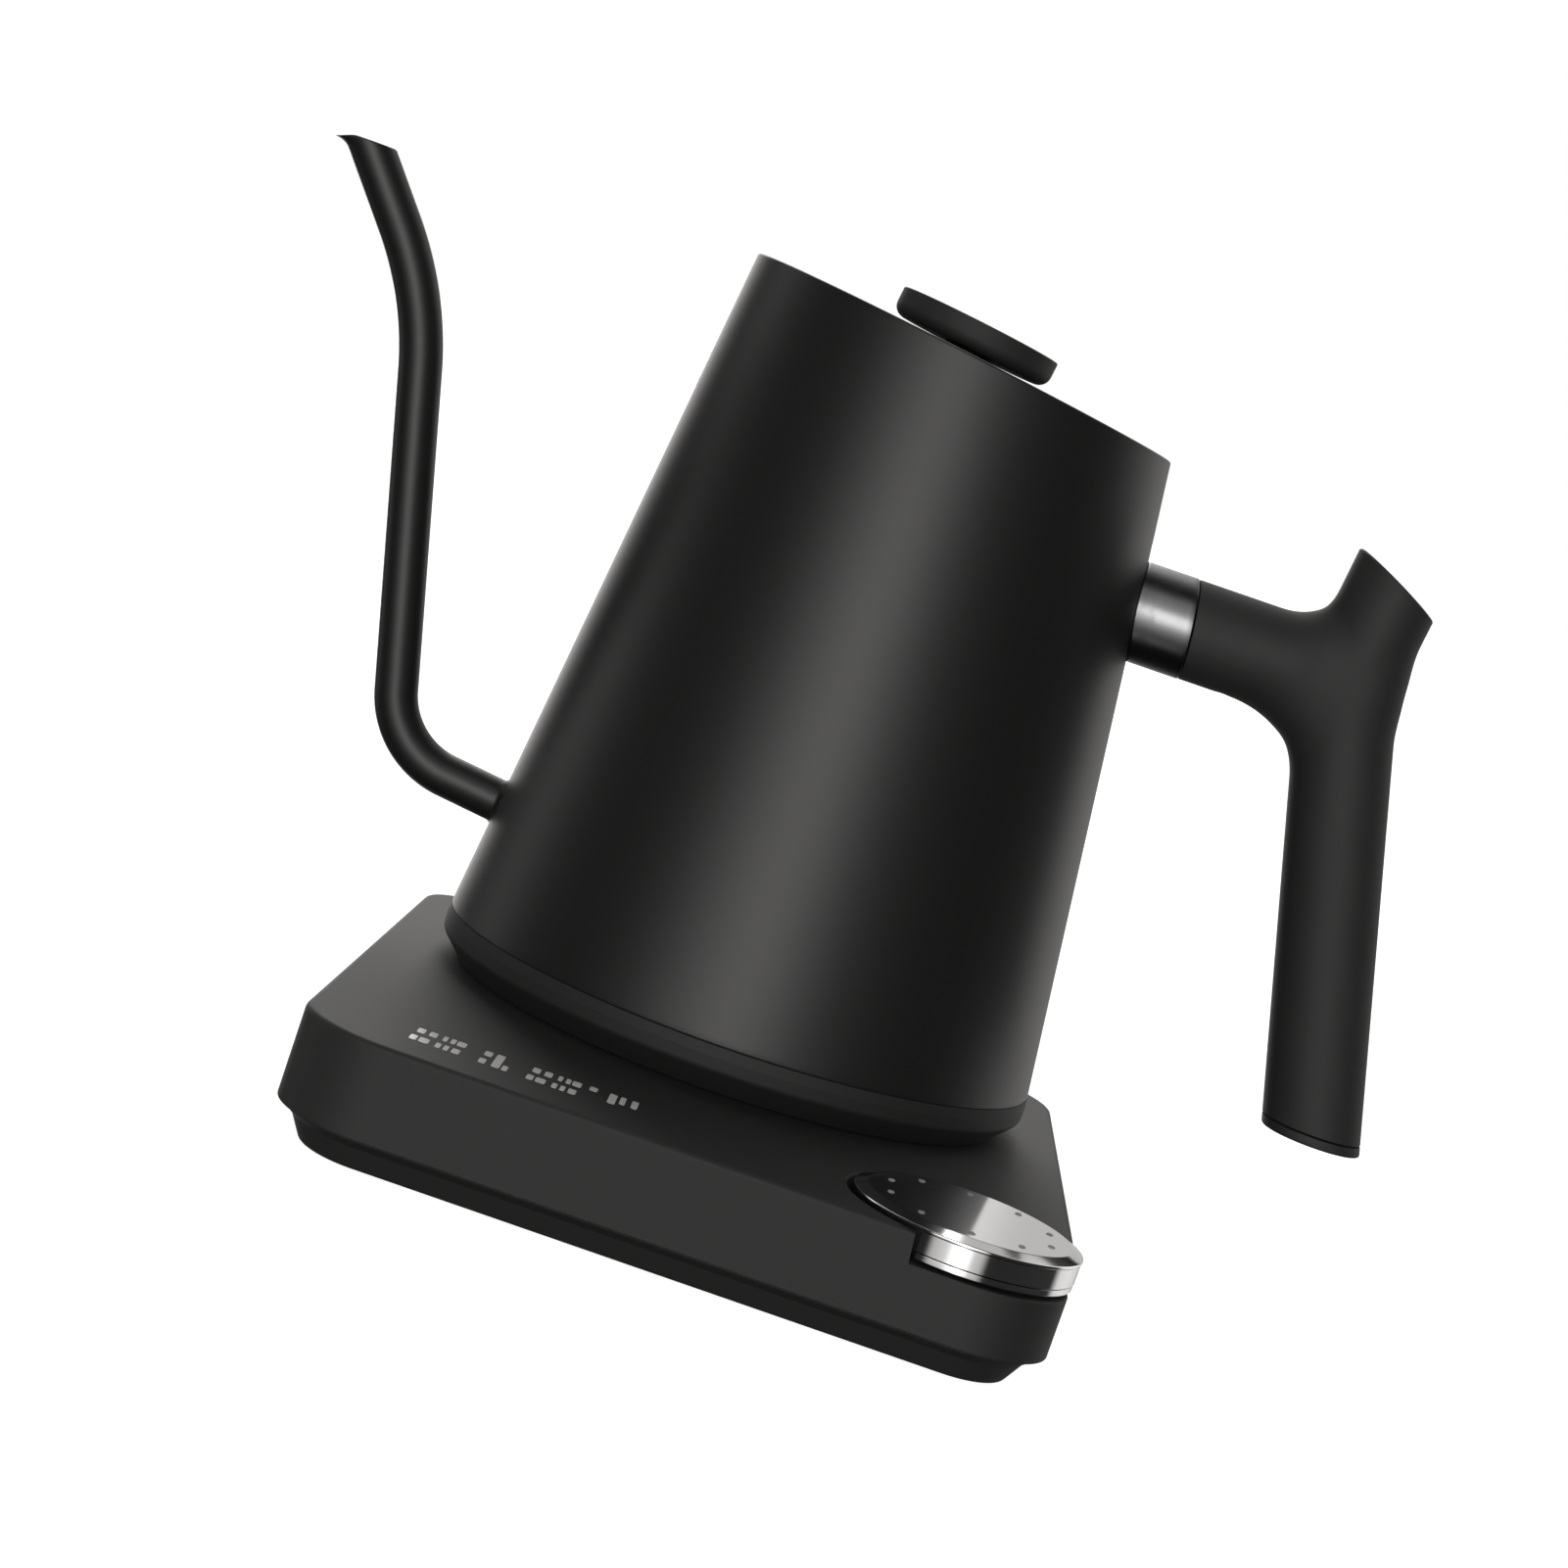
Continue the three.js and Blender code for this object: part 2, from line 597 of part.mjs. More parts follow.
// Centreline of the spout: it leaves the wall square, turns up, and turns out again at the neck.
const spoutRoot = new THREE.Vector2(-wallRadius(SPOUT_ROOT_HEIGHT), SPOUT_ROOT_HEIGHT);
const spoutOut = new THREE.Vector2(-Math.cos(wallLean), Math.sin(wallLean));
const spoutStart = spoutRoot.clone().addScaledVector(spoutOut, -STEEL_WALL - 1.6);
const lowerCorner = spoutRoot.clone().addScaledVector(spoutOut, SPOUT_RUN);
const neckRise = RIM_HEIGHT - SPOUT_NECK_DROP - lowerCorner.y;
const neckCorner = lowerCorner.clone().add(
  new THREE.Vector2(-neckRise * Math.tan(radians(SPOUT_LEAN)), neckRise),
);
const mouthHeight = RIM_HEIGHT + SPOUT_MOUTH_RISE;
const tipRise = mouthHeight - neckCorner.y + 2 * SPOUT_RADIUS;
const spoutEnd = neckCorner.clone().add(
  new THREE.Vector2(-tipRise * Math.tan(radians(SPOUT_TIP_LEAN)), tipRise),
);

/** A path in the XZ plane through corners, each rounded by an arc of its own radius. */
function roundedPath(start, corners, end) {
  const path = new THREE.CurvePath();
  const at = (point) => new THREE.Vector3(point.x, 0, point.y);
  let from = start;
  corners.forEach(([corner, radius], i) => {
    const before = corner.clone().sub(from).normalize();
    const next = i + 1 < corners.length ? corners[i + 1][0] : end;
    const after = next.clone().sub(corner).normalize();
    const turn = Math.acos(before.dot(after));
    const cutBack = radius * Math.tan(turn / 2);
    const handle = (4 / 3) * Math.tan(turn / 4) * radius;
    const arcStart = corner.clone().addScaledVector(before, -cutBack);
    const arcEnd = corner.clone().addScaledVector(after, cutBack);
    path.add(new THREE.LineCurve3(at(from), at(arcStart)));
    path.add(new THREE.CubicBezierCurve3(
      at(arcStart),
      at(arcStart.clone().addScaledVector(before, handle)),
      at(arcEnd.clone().addScaledVector(after, -handle)),
      at(arcEnd),
    ));
    from = arcEnd;
  });
  path.add(new THREE.LineCurve3(at(from), at(end)));
  return path;
}

/** A tube, or a bar when it has no bore, along a path. */
function tube(path, radius, bore, steps, sides) {
  const section = new THREE.Shape().absarc(0, 0, radius, 0, 2 * Math.PI, false);
  if (bore > 0) section.holes.push(new THREE.Path().absarc(0, 0, bore, 0, 2 * Math.PI, true));
  return new THREE.ExtrudeGeometry(section, { steps, extrudePath: path, curveSegments: sides });
}

const spoutCorners = [[lowerCorner, SPOUT_LOWER_BEND], [neckCorner, SPOUT_UPPER_BEND]];
const spoutPath = roundedPath(spoutStart, spoutCorners, spoutEnd);
const aboveMouth = block(
  [spoutEnd.x - 60, -60, mouthHeight],
  [-wallRadius(mouthHeight), 60, mouthHeight + 60],
);

/** A bar that leaves the wall square, through the place where the spout is fixed. */
function spoutBar(radius, from, to) {
  const bar = new THREE.CylinderGeometry(radius, radius, to - from, 24);
  bar.translate(0, (from + to) / 2, 0).rotateZ(Math.PI / 2).rotateY(wallLean);
  return bar.translate(spoutRoot.x, 0, spoutRoot.y);
}

function vesselShell() {
  const top = RIM_HEIGHT + BODY_RADIUS * Math.tan(tilt) * 1.5;
  const wall = turned([
    [wallRadius(SEAM_HEIGHT) - STEEL_WALL, SEAM_HEIGHT],
    [wallRadius(SEAM_HEIGHT), SEAM_HEIGHT],
    [wallRadius(top), top],
    [wallRadius(top) - STEEL_WALL, top],
  ], BODY_STEPS);
  return cut(wall, aboveRim(0), spoutBar(SPOUT_RADIUS + GAP, -10, 10));
}

piece(kettle, 'vessel_shell', vesselShell(), blackCoat);

/** A bar across the kettle's plane, with its section given from the front edge of the mouth. */
function atMouthEdge(section, halfWidth) {
  const middle = neckCorner.x - (mouthHeight - neckCorner.y) * Math.tan(radians(SPOUT_TIP_LEAN));
  const edge = middle - SPOUT_RADIUS / Math.cos(radians(SPOUT_TIP_LEAN));
  const shape = new THREE.Shape(section.map(([x, z]) => new THREE.Vector2(edge + x, mouthHeight + z)));
  const bar = new THREE.ExtrudeGeometry(shape, { depth: 2 * halfWidth, bevelEnabled: false });
  return bar.rotateX(Math.PI / 2).translate(0, halfWidth, 0);
}

/** The gooseneck tube, cut level at the mouth, with a pouring lip that turns out at the front. */
function spoutTube() {
  const open = tube(spoutPath, SPOUT_RADIUS, SPOUT_BORE, SPOUT_STEPS, 5);
  const lip = [
    [-SPOUT_LIP, -SPOUT_LIP_DROP],
    [2.3, -2.8],
    [2.4, -2.2],
    [1.1, -0.55],
  ];
  const aboveLip = [
    [2.7, 0],
    [2.7, 3],
    [-3, 3],
    [-3, (-SPOUT_LIP_DROP * 5.7) / (2.7 + SPOUT_LIP)],
  ];
  return cut(join(open, atMouthEdge(lip, 1.6)), aboveMouth, atMouthEdge(aboveLip, 8));
}
piece(kettle, 'spout', spoutTube(), blackCoat);

// Bottom housing: a band that carries on the wall, an undercut, and a foot rim.
const housingTop = SEAM_HEIGHT - GAP;
const housingWall = 2.2;
const plateBottom = standHeight + 1;
const plateTop = plateBottom + 1.8;
const couplerRadius = CONNECTOR_RADIUS + CONNECTOR_CLEARANCE + 5;
const screwRing = 52; // radius of the three screws that hold the housing
const housingScrewHead = 2.8;
const housingScrewShank = 1.5;
const housingBossTop = floorTop - floorThickness - 5 - GAP;
const spotOnRing = (radius, turn) => [radius * Math.cos(turn), radius * Math.sin(turn)];
const ringSpots = [30, 150, 270].map((turn) => spotOnRing(screwRing, radians(turn)));

function bottomHousing() {
  const upstand = wallRadius(SEAM_HEIGHT + 3) - STEEL_WALL - 2 * GAP;
  const shell = turned([
    [couplerRadius + GAP, plateBottom],
    [CONTACT_RADIUS - 2.4, plateBottom],
    [CONTACT_RADIUS - 2, standHeight],
    [CONTACT_RADIUS, standHeight],
    [BODY_RADIUS - 0.7, standHeight + HOUSING_SLOPE - 0.5],
    [BODY_RADIUS - 0.2, standHeight + HOUSING_SLOPE + 0.6],
    [BODY_RADIUS, wideHeight + 0.4],
    [wallRadius(housingTop), housingTop],
    [upstand, housingTop],
    [upstand, SEAM_HEIGHT + 3],
    [upstand - 1.4, SEAM_HEIGHT + 3],
    [upstand - 1.4, housingTop - 2],
    [BODY_RADIUS - housingWall - 1, standHeight + HOUSING_SLOPE],
    [CONTACT_RADIUS - 1.5, plateTop],
    [couplerRadius + GAP, plateTop],
  ], BODY_STEPS);
  const onRing = (radius, low, high) => ringSpots.map(([x, y]) => rod(radius, low, high, x, y, 12));
  const bosses = onRing(5, plateTop - 1, housingBossTop);
  const heads = onRing(housingScrewHead + GAP, standHeight, plateTop + 1);
  const shanks = onRing(housingScrewShank + GAP, standHeight, housingBossTop + 1);
  return cut(join(shell, ...bosses), ...heads, ...shanks);
}
piece(kettle, 'bottom_housing', bottomHousing(), blackPlastic);

function vesselFloor() {
  const low = floorTop - floorThickness;
  const skirt = SEAM_HEIGHT + 3 + 2 * GAP;
  const edge = wallRadius(floorTop) - STEEL_WALL - GAP;
  const pan = turned([
    [0, low],
    [edge - 1, low],
    [edge - 1, skirt],
    [edge, skirt],
    [edge, floorTop],
    [0, floorTop],
  ], BODY_STEPS);
  const onRing = (radius, from, to) => ringSpots.map(([x, y]) => rod(radius, from, to, x, y, 12));
  const studs = onRing(3.2, low - 5, low + 0.5);
  const threads = onRing(housingScrewShank + GAP, low - 6, low - 0.6);
  const seat = rod(probeRadius + 1.4, low - 1, floorTop + 1, probeX, 0);
  return cut(join(pan, ...studs), ...threads, seat);
}
piece(kettle, 'vessel_floor', vesselFloor(), steel);

ringSpots.forEach(([x, y], i) => {
  const tip = floorTop - floorThickness - 1;
  const screw = panScrew(housingScrewHead, housingScrewShank, plateBottom + 0.2, plateTop + 1 - GAP, tip);
  piece(kettle, `housing_screw_${i + 1}`, screw.translate(x, y, 0), steel);
});

const spreaderTop = floorTop - floorThickness - GAP;
const spreaderBottom = spreaderTop - 1.8;
const spreaderRadius = screwRing - 3.2 - 2;
piece(kettle, 'heat_spreader', cut(
  rod(spreaderRadius, spreaderBottom, spreaderTop, 0, 0, LATHE_STEPS),
  rod(probeRadius + 3.8, spreaderBottom - 1, spreaderTop + 1, probeX, 0),
), aluminium);

// Heating element: an open ring of tube under the spreader.
const elementRadius = 2.2;
const elementRing = 40;
const elementHeight = spreaderBottom - GAP - elementRadius;
class ElementArc extends THREE.Curve {
  getPoint(t, target = new THREE.Vector3()) {
    const turn = radians(30 + 300 * t);
    return target.set(elementRing * Math.cos(turn), elementRing * Math.sin(turn), elementHeight);
  }
}
piece(kettle, 'heating_element', tube(new ElementArc(), elementRadius, 0, 24, 4), steel);
piece(kettle, 'thermostat', block(
  [-elementRing + elementRadius + 2, -6, spreaderBottom - GAP - 4.4],
  [-couplerRadius - 2, 6, spreaderBottom - GAP],
), whitePlastic);

piece(kettle, 'temperature_probe', turned([
  [0, spreaderBottom - 2],
  [probeRadius, spreaderBottom - 2],
  [probeRadius, floorTop + 14],
  [probeRadius - 0.8, floorTop + 15.4],
  [0, floorTop + 15.4],
], ROUND_STEPS).translate(probeX, 0, 0), steel);
piece(kettle, 'probe_seal', turned([
  [probeRadius + GAP, floorTop - floorThickness - 1.6],
  [probeRadius + 3, floorTop - floorThickness - 1.6],
  [probeRadius + 3, floorTop - floorThickness - GAP],
  [probeRadius + 1.1, floorTop - floorThickness - GAP],
  [probeRadius + 1.1, floorTop + GAP],
  [probeRadius + 3, floorTop + GAP],
  [probeRadius + 2.4, floorTop + 2],
  [probeRadius + GAP, floorTop + 2],
], ROUND_STEPS).translate(probeX, 0, 0), silicone);

// Kettle half of the connector: a cup open downwards, with a tube that enters the well.
const cupTop = connectorTop + CONNECTOR_CLEARANCE;
const cupRadius = CONNECTOR_RADIUS + CONNECTOR_CLEARANCE;
piece(kettle, 'kettle_coupler', turned([
  [0, cupTop],
  [PIN_RADIUS + 0.6, cupTop],
  [PIN_RADIUS + 0.6, wellFloor + 0.6],
  [wellRadius - 0.6, wellFloor + 0.6],
  [wellRadius - 0.6, cupTop],
  [cupRadius, cupTop],
  [cupRadius, plateBottom],
  [couplerRadius, plateBottom],
  [couplerRadius, cupTop + 1.4],
  [0, cupTop + 1.4],
]), blackPlastic);

// ---------------------------------------------------------------------------------------------
// Handle
// ---------------------------------------------------------------------------------------------

const bodyClear = wallCone(GAP, SEAM_HEIGHT, RIM_HEIGHT);
const ferruleEnd = armWall + FERRULE_LENGTH;
const armStart = ferruleEnd + GAP;
const studEnd = armStart + 19;
const setScrewX = armStart + 11;
const setScrewRadius = 1.5;
const gripLean = radians(GRIP_LEAN);
const gripX = armWall + GRIP_REACH;
const gripEnd = armHeight - GRIP_LENGTH;
const capTop = gripEnd + END_CAP_HEIGHT;

/** Everything further out than a plane parallel to the wall, through the arm's centreline at x. */
function outwardOf(x) {
  const space = block([0, -60, -60], [200, 60, 60]);
  return space.rotateY(-wallLean).translate(x, 0, armHeight);
}

piece(kettle, 'handle_bracket', cut(
  join(barX(8, armWall - 8, armWall + 3, armHeight, 20), barX(studRadius, armWall, studEnd, armHeight, 20)),
  bodyClear,
), steel);
piece(kettle, 'handle_ferrule', cut(
  barX(ARM_RADIUS + FERRULE_PROUD, armWall - 8, ferruleEnd + 5, armHeight, 40),
  barX(8 + GAP, armWall - 9, ferruleEnd + 6, armHeight, 24),
  bodyClear,
  outwardOf(ferruleEnd),
), chrome);

/** A bar on the leaning axis of the grip, longer than it by `extra` at the lower end. */
function gripBar(radius, top, extra, steps) {
  const length = (top - gripEnd) / Math.cos(gripLean) + extra;
  const bar = new THREE.CylinderGeometry(radius, radius, length, steps).rotateX(Math.PI / 2);
  bar.translate(0, 0, (top - armHeight) / Math.cos(gripLean) - length / 2).rotateY(-gripLean);
  return bar.translate(gripX, 0, armHeight);
}

/** Everything between two heights round the handle. */
function handleSlab(low, high) {
  return block([armWall, -40, low], [gripX + GRIP_LENGTH, 40, high]);
}

function handleGrip() {
  const arm = common(barX(ARM_RADIUS, armStart - 5, gripX, armHeight, 28), outwardOf(armStart));
  const grip = gripBar(GRIP_RADIUS, armHeight, 20, 28);
  const knee = new THREE.SphereGeometry(ARM_RADIUS + 0.1, 24, 16).translate(gripX, 0, armHeight);
  const horn = new THREE.CylinderGeometry(HORN_RADIUS, HORN_RADIUS - 0.6, 40, 28).rotateX(Math.PI / 2);
  horn.translate(0, 0, 20).rotateY(radians(HORN_LEAN)).translate(gripX, 0, armHeight);
  const hornCut = block([-60, -60, 0], [60, 60, 60]).rotateY(radians(HORN_TILT));
  hornCut.translate(gripX + HORN_RISE * Math.tan(radians(HORN_LEAN)), 0, armHeight + HORN_RISE);
  const below = handleSlab(gripEnd - 60, capTop + GAP);
  const bore = gripBar(GRIP_BORE, armHeight - 26, 20, 20);
  const studBore = barX(studRadius + GAP, armStart - 6, studEnd + GAP, armHeight, 20);
  const screwBore = rod(setScrewRadius + GAP, armHeight - 2 * ARM_RADIUS, armHeight, setScrewX, 0, 12);
  return cut(join(arm, grip, knee, cut(horn, hornCut)), below, bore, studBore, screwBore);
}
piece(kettle, 'handle_grip', handleGrip(), gripPlastic);

piece(kettle, 'handle_end_cap', join(
  common(gripBar(GRIP_RADIUS, armHeight, 20, 28), handleSlab(gripEnd, capTop)),
  common(gripBar(GRIP_BORE - GAP, armHeight, 20, 20), handleSlab(gripEnd, capTop + 4)),
), gripPlastic);
piece(kettle, 'handle_set_screw', rod(
  setScrewRadius,
  armHeight - ARM_RADIUS + 0.8,
  armHeight - studRadius - GAP,
  setScrewX,
  0,
  12,
), steel);

// ---------------------------------------------------------------------------------------------
// Rim and lid, in a frame that is tilted with the rim
// ---------------------------------------------------------------------------------------------

// The slanted plane meets the cone a little further out on the handle side.
const slope = bodySlope * Math.tan(tilt);
const nearSide = RIM_RADIUS / (1 + slope);
const farSide = RIM_RADIUS / (1 - slope);
const mouthShift = (farSide - nearSide) / 2 / Math.cos(tilt);
const mouthRadius = Math.sqrt(nearSide * farSide);
const wallAcross = STEEL_WALL;
const ledgeRadius = mouthRadius - wallAcross - MOUTH_LEDGE;
const discBottom = -LID_SINK - LID_THICKNESS;
const ledgeTop = discBottom - GAP;

lid.position.set(0, 0, RIM_HEIGHT);
lid.rotation.y = tilt;

/** Places a piece made about the mouth's centre. */
const overMouth = (geometry) => geometry.translate(mouthShift, 0, 0);

function rimCollar() {
  const reach = mouthRadius + 4;
  const ring = turned([
    [ledgeRadius, -12],
    [ledgeRadius + 1.4, -12],
    [ledgeRadius + 1.4, ledgeTop - 1.6],
    [reach, ledgeTop - 1.6],
    [reach, ledgeTop],
    [ledgeRadius, ledgeTop],
  ], LATHE_STEPS);
  const placed = overMouth(ring).rotateY(tilt).translate(0, 0, RIM_HEIGHT);
  return common(placed, wallCone(-wallAcross - GAP, SEAM_HEIGHT, RIM_HEIGHT + 30));
}
piece(kettle, 'rim_collar', rimCollar(), steel);

const discRadius = mouthRadius - wallAcross - LID_GAP - 0.2;
const screwClear = 2.3;
piece(lid, 'lid_disc', overMouth(turned([
  [screwClear, discBottom],
  [discRadius, discBottom],
  [discRadius, -LID_SINK - 0.5],
  [discRadius - 0.5, -LID_SINK],
  [screwClear, -LID_SINK],
], LATHE_STEPS)), blackCoat);

const plugRadius = ledgeRadius - 1.2;
const plugBottom = discBottom - SKIRT_DEPTH;
const grooveTop = -7.4;
const grooveBottom = -10;
piece(lid, 'lid_skirt', overMouth(cut(
  turned([
    [0, plugBottom],
    [plugRadius - 1, plugBottom],
    [plugRadius, plugBottom + 1],
    [plugRadius, grooveBottom],
    [plugRadius - 1.6, grooveBottom],
    [plugRadius - 1.6, grooveTop],
    [plugRadius, grooveTop],
    [plugRadius, discBottom - GAP],
    [plugRadius - 3.4, discBottom - GAP],
    [plugRadius - 3.4, plugBottom + 1.6],
    [0, plugBottom + 1.6],
  ], LATHE_STEPS),
  ...[0, 1, 2, 3, 4].map((i) => {
    const [x, y] = spotOnRing(plugRadius - 12, radians(72 * i));
    return rod(1.6, plugBottom - 1, plugBottom + 3, x, y, 10);
  }),
)), blackPlastic);
piece(lid, 'lid_gasket', overMouth(turned([
  [plugRadius - 1.6 + GAP, grooveBottom + GAP],
  [plugRadius, grooveBottom + GAP],
  [ledgeRadius - GAP, (grooveBottom + grooveTop) / 2],
  [plugRadius, grooveTop - GAP],
  [plugRadius - 1.6 + GAP, grooveTop - GAP],
], LATHE_STEPS)), silicone);

const knobTop = KNOB_RISE + KNOB_HEIGHT;
const knobStem = 5.5;
const knobBore = 1.9;
const undercut = [0, 1, 2, 3].map((i) => {
  const turn = radians(30 * i);
  return [
    KNOB_RADIUS - KNOB_UNDERCUT + KNOB_UNDERCUT * Math.sin(turn),
    KNOB_RISE + KNOB_UNDERCUT - KNOB_UNDERCUT * Math.cos(turn),
  ];
});
piece(lid, 'lid_knob', overMouth(turned([
  [0, knobTop],
  [0, knobTop - 2],
  [knobBore, knobTop - 2],
  [knobBore, -LID_SINK + GAP],
  [knobStem, -LID_SINK + GAP],
  [knobStem, KNOB_RISE],
  ...undercut,
  [KNOB_RADIUS, knobTop - 0.3],
  [KNOB_RADIUS - 0.3, knobTop],
])), gripPlastic);
piece(lid, 'knob_screw', overMouth(turned([
  [0, discBottom - 2.2],
  [3.6, discBottom - 2.2],
  [3.6, discBottom - GAP],
  [knobBore - GAP, discBottom - GAP],
  [knobBore - GAP, knobTop - 2.6],
  [0, knobTop - 2.6],
], 12)), steel);

// ---------------------------------------------------------------------------------------------
// Origin at the bottom centre of the whole object's box
// ---------------------------------------------------------------------------------------------

object.updateMatrixWorld(true);
const bounds = new THREE.Box3().setFromObject(object, true);
object.position.set(-(bounds.min.x + bounds.max.x) / 2, -(bounds.min.y + bounds.max.y) / 2, -bounds.min.z);

export default object;
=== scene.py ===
"""Looks of an electric gooseneck kettle that stands on its square heating base.

Lengths in the classes are millimetres from the kettle's upright axis at table height: +Z is up, the
front of the base looks towards -Y, the spout points to -X and the handle to +X. Surface.mesh turns
them into metres in the frame's own axes.
"""

import logging
import math
from collections.abc import Callable, Iterable, Sequence
from dataclasses import dataclass, field
from enum import Enum

import bmesh
import bpy
import numpy as np
from mathutils import Matrix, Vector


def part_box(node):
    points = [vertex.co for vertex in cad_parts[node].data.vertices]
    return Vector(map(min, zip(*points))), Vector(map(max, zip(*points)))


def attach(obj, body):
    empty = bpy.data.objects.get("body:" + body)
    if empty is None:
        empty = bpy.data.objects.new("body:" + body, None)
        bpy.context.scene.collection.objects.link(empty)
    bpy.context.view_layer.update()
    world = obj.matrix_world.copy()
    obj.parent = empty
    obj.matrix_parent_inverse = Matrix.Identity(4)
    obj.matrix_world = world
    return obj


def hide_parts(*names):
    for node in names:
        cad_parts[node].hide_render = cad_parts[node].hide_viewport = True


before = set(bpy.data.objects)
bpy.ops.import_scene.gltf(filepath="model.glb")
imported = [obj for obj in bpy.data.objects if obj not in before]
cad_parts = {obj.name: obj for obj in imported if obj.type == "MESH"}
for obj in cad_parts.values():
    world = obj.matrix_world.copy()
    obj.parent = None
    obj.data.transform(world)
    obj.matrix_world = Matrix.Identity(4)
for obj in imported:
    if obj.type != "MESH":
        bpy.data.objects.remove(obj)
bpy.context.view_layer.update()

MM = 0.001
log = logging.getLogger("kettle")
Array = np.ndarray


# ---------------------------------------------------------------------------------------------
# Places taken from the frame
# ---------------------------------------------------------------------------------------------


def kettle_axis() -> Array:
    """The point on the table under the kettle's upright axis.

    Returns:
        Metres in the frame's axes.
    """
    low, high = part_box("bottom_housing")
    return np.array(((low.x + high.x) / 2, (low.y + high.y) / 2, 0.0))


AXIS = kettle_axis()


def span(node: str) -> tuple[Array, Array]:
    """Where a CAD node is.

    Args:
        node: name of the CAD node.

    Returns:
        Its lowest and highest corner, in millimetres from the kettle's axis.
    """
    low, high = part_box(node)
    return (np.array(low) - AXIS) / MM, (np.array(high) - AXIS) / MM


def middle(node: str) -> Array:
    """The centre of a CAD node's box, in millimetres from the kettle's axis."""
    low, high = span(node)
    return (low + high) / 2


def girth(node: str) -> float:
    """Half of a CAD node's width along X, which is the radius of a round upright one."""
    low, high = span(node)
    return float(high[0] - low[0]) / 2


# ---------------------------------------------------------------------------------------------
# Surfaces
# ---------------------------------------------------------------------------------------------


@dataclass
class Surface:
    """Points in millimetres, and the faces between them.

    Attributes:
        points: array of n by 3.
        faces: lists of point numbers, counter-clockwise as seen from outside.
        paint: number of the finish of each face.
    """

    points: Array
    faces: list[list[int]]
    paint: list[int] = field(default_factory=list)

    @classmethod
    def grid(cls, points: Array, closed: bool = False, painted: Array | None = None) -> "Surface":
        """Quads over a grid whose columns run round the shape.

        Quad (i, j) joins points (i, j), (i, j+1), (i+1, j+1) and (i+1, j). It faces outwards when a
        column step crossed with a row step points outwards.

        Args:
            points: rows by columns by 3.
            closed: the last row joins the first one.
            painted: number of the finish for each row of quads.

        Returns:
            The surface.
        """
        rows, columns = points.shape[:2]
        steps = rows if closed else rows - 1
        i, j = np.meshgrid(np.arange(steps), np.arange(columns), indexing="ij")
        below, above = (i % rows) * columns, ((i + 1) % rows) * columns
        after = (j + 1) % columns
        quads = np.stack((below + j, below + after, above + after, above + j), axis=-1)
        numbers = np.zeros(steps, int) if painted is None else painted[:steps]
        paint = np.repeat(numbers, columns).tolist()
        return cls(points.reshape(-1, 3), quads.reshape(-1, 4).tolist(), paint)

    def __add__(self, other: "Surface") -> "Surface":
        """Both surfaces as one."""
        shift = len(self.points)
        moved = [[n + shift for n in face] for face in other.faces]
        return Surface(
            np.vstack((self.points, other.points)),
            self.faces + moved,
            self.numbers() + other.numbers(),
        )

    def numbers(self) -> list[int]:
        """The finish number of every face."""
        return self.paint or [0] * len(self.faces)

    def placed(self, place: Callable[[Array], Array]) -> "Surface":
        """The same faces over moved points."""
        return Surface(place(self.points), self.faces, self.paint)

    def mesh(self, name: str) -> bpy.types.Mesh:
        """Writes the surface into a mesh in metres, with its doubles merged.

        Args:
            name: name of the mesh.

        Returns:
            The mesh.
        """
        mesh = bpy.data.meshes.new(name)
        mesh.from_pydata((self.points * MM + AXIS).tolist(), [], self.faces)
        mesh.polygons.foreach_set("material_index", self.numbers())
        work = bmesh.new()
        work.from_mesh(mesh)
        bmesh.ops.remove_doubles(work, verts=work.verts, dist=0.002 * MM)
        bmesh.ops.dissolve_degenerate(work, edges=work.edges, dist=0.001 * MM)
        work.to_mesh(mesh)
        work.free()
        return mesh

    def thing(self, name: str) -> bpy.types.Object:
        """The surface as an object in the scene."""
        thing = bpy.data.objects.new(name, self.mesh(name))
        bpy.context.scene.collection.objects.link(thing)
        return thing


def unit(vectors: Array) -> Array:
    """Vectors scaled to length one along the last axis."""
    return vectors / np.linalg.norm(vectors, axis=-1, keepdims=True)


def rounded(corners: Sequence[Sequence[float]], closed: bool = True, steps: int = 6) -> Array:
    """An outline with an arc at each corner.

    The arc of radius r touches both sides at r / tan(half the angle between them) from the corner,
    and its points are the two end radii blended as sin((1 - t) w) and sin(t w) over the swept
    angle w.

    Args:
        corners: (x, y, radius) of each corner.
        closed: the last corner joins the first one.
        steps: segments in an arc.

    Returns:
        Points of the outline, n by 2.
    """
    places = np.array([corner[:2] for corner in corners], float)
    parts = []
    for number, (x, y, radius) in enumerate(corners):
        here = np.array((x, y), float)
        if radius == 0 or (not closed and number in (0, len(corners) - 1)):
            parts.append(here[None])
            continue
        back = unit(places[number - 1] - here)
        ahead = unit(places[(number + 1) % len(places)] - here)
        half = math.acos(float(np.clip(back @ ahead, -1, 1))) / 2
        reach = radius / math.tan(half)
        centre = here + unit(back + ahead) * radius / math.sin(half)
        sweep = math.pi - 2 * half
        t = np.linspace(0, 1, steps + 1)[:, None]
        start = here + back * reach - centre
        end = here + ahead * reach - centre
        blend = np.sin((1 - t) * sweep) * start + np.sin(t * sweep) * end
        parts.append(centre + blend / math.sin(sweep))
    return np.vstack(parts)


def round_angles(steps: int) -> Array:
    """Evenly spaced angles of a full turn, without the repeated last one."""
    return np.linspace(0, 2 * math.pi, steps, endpoint=False)


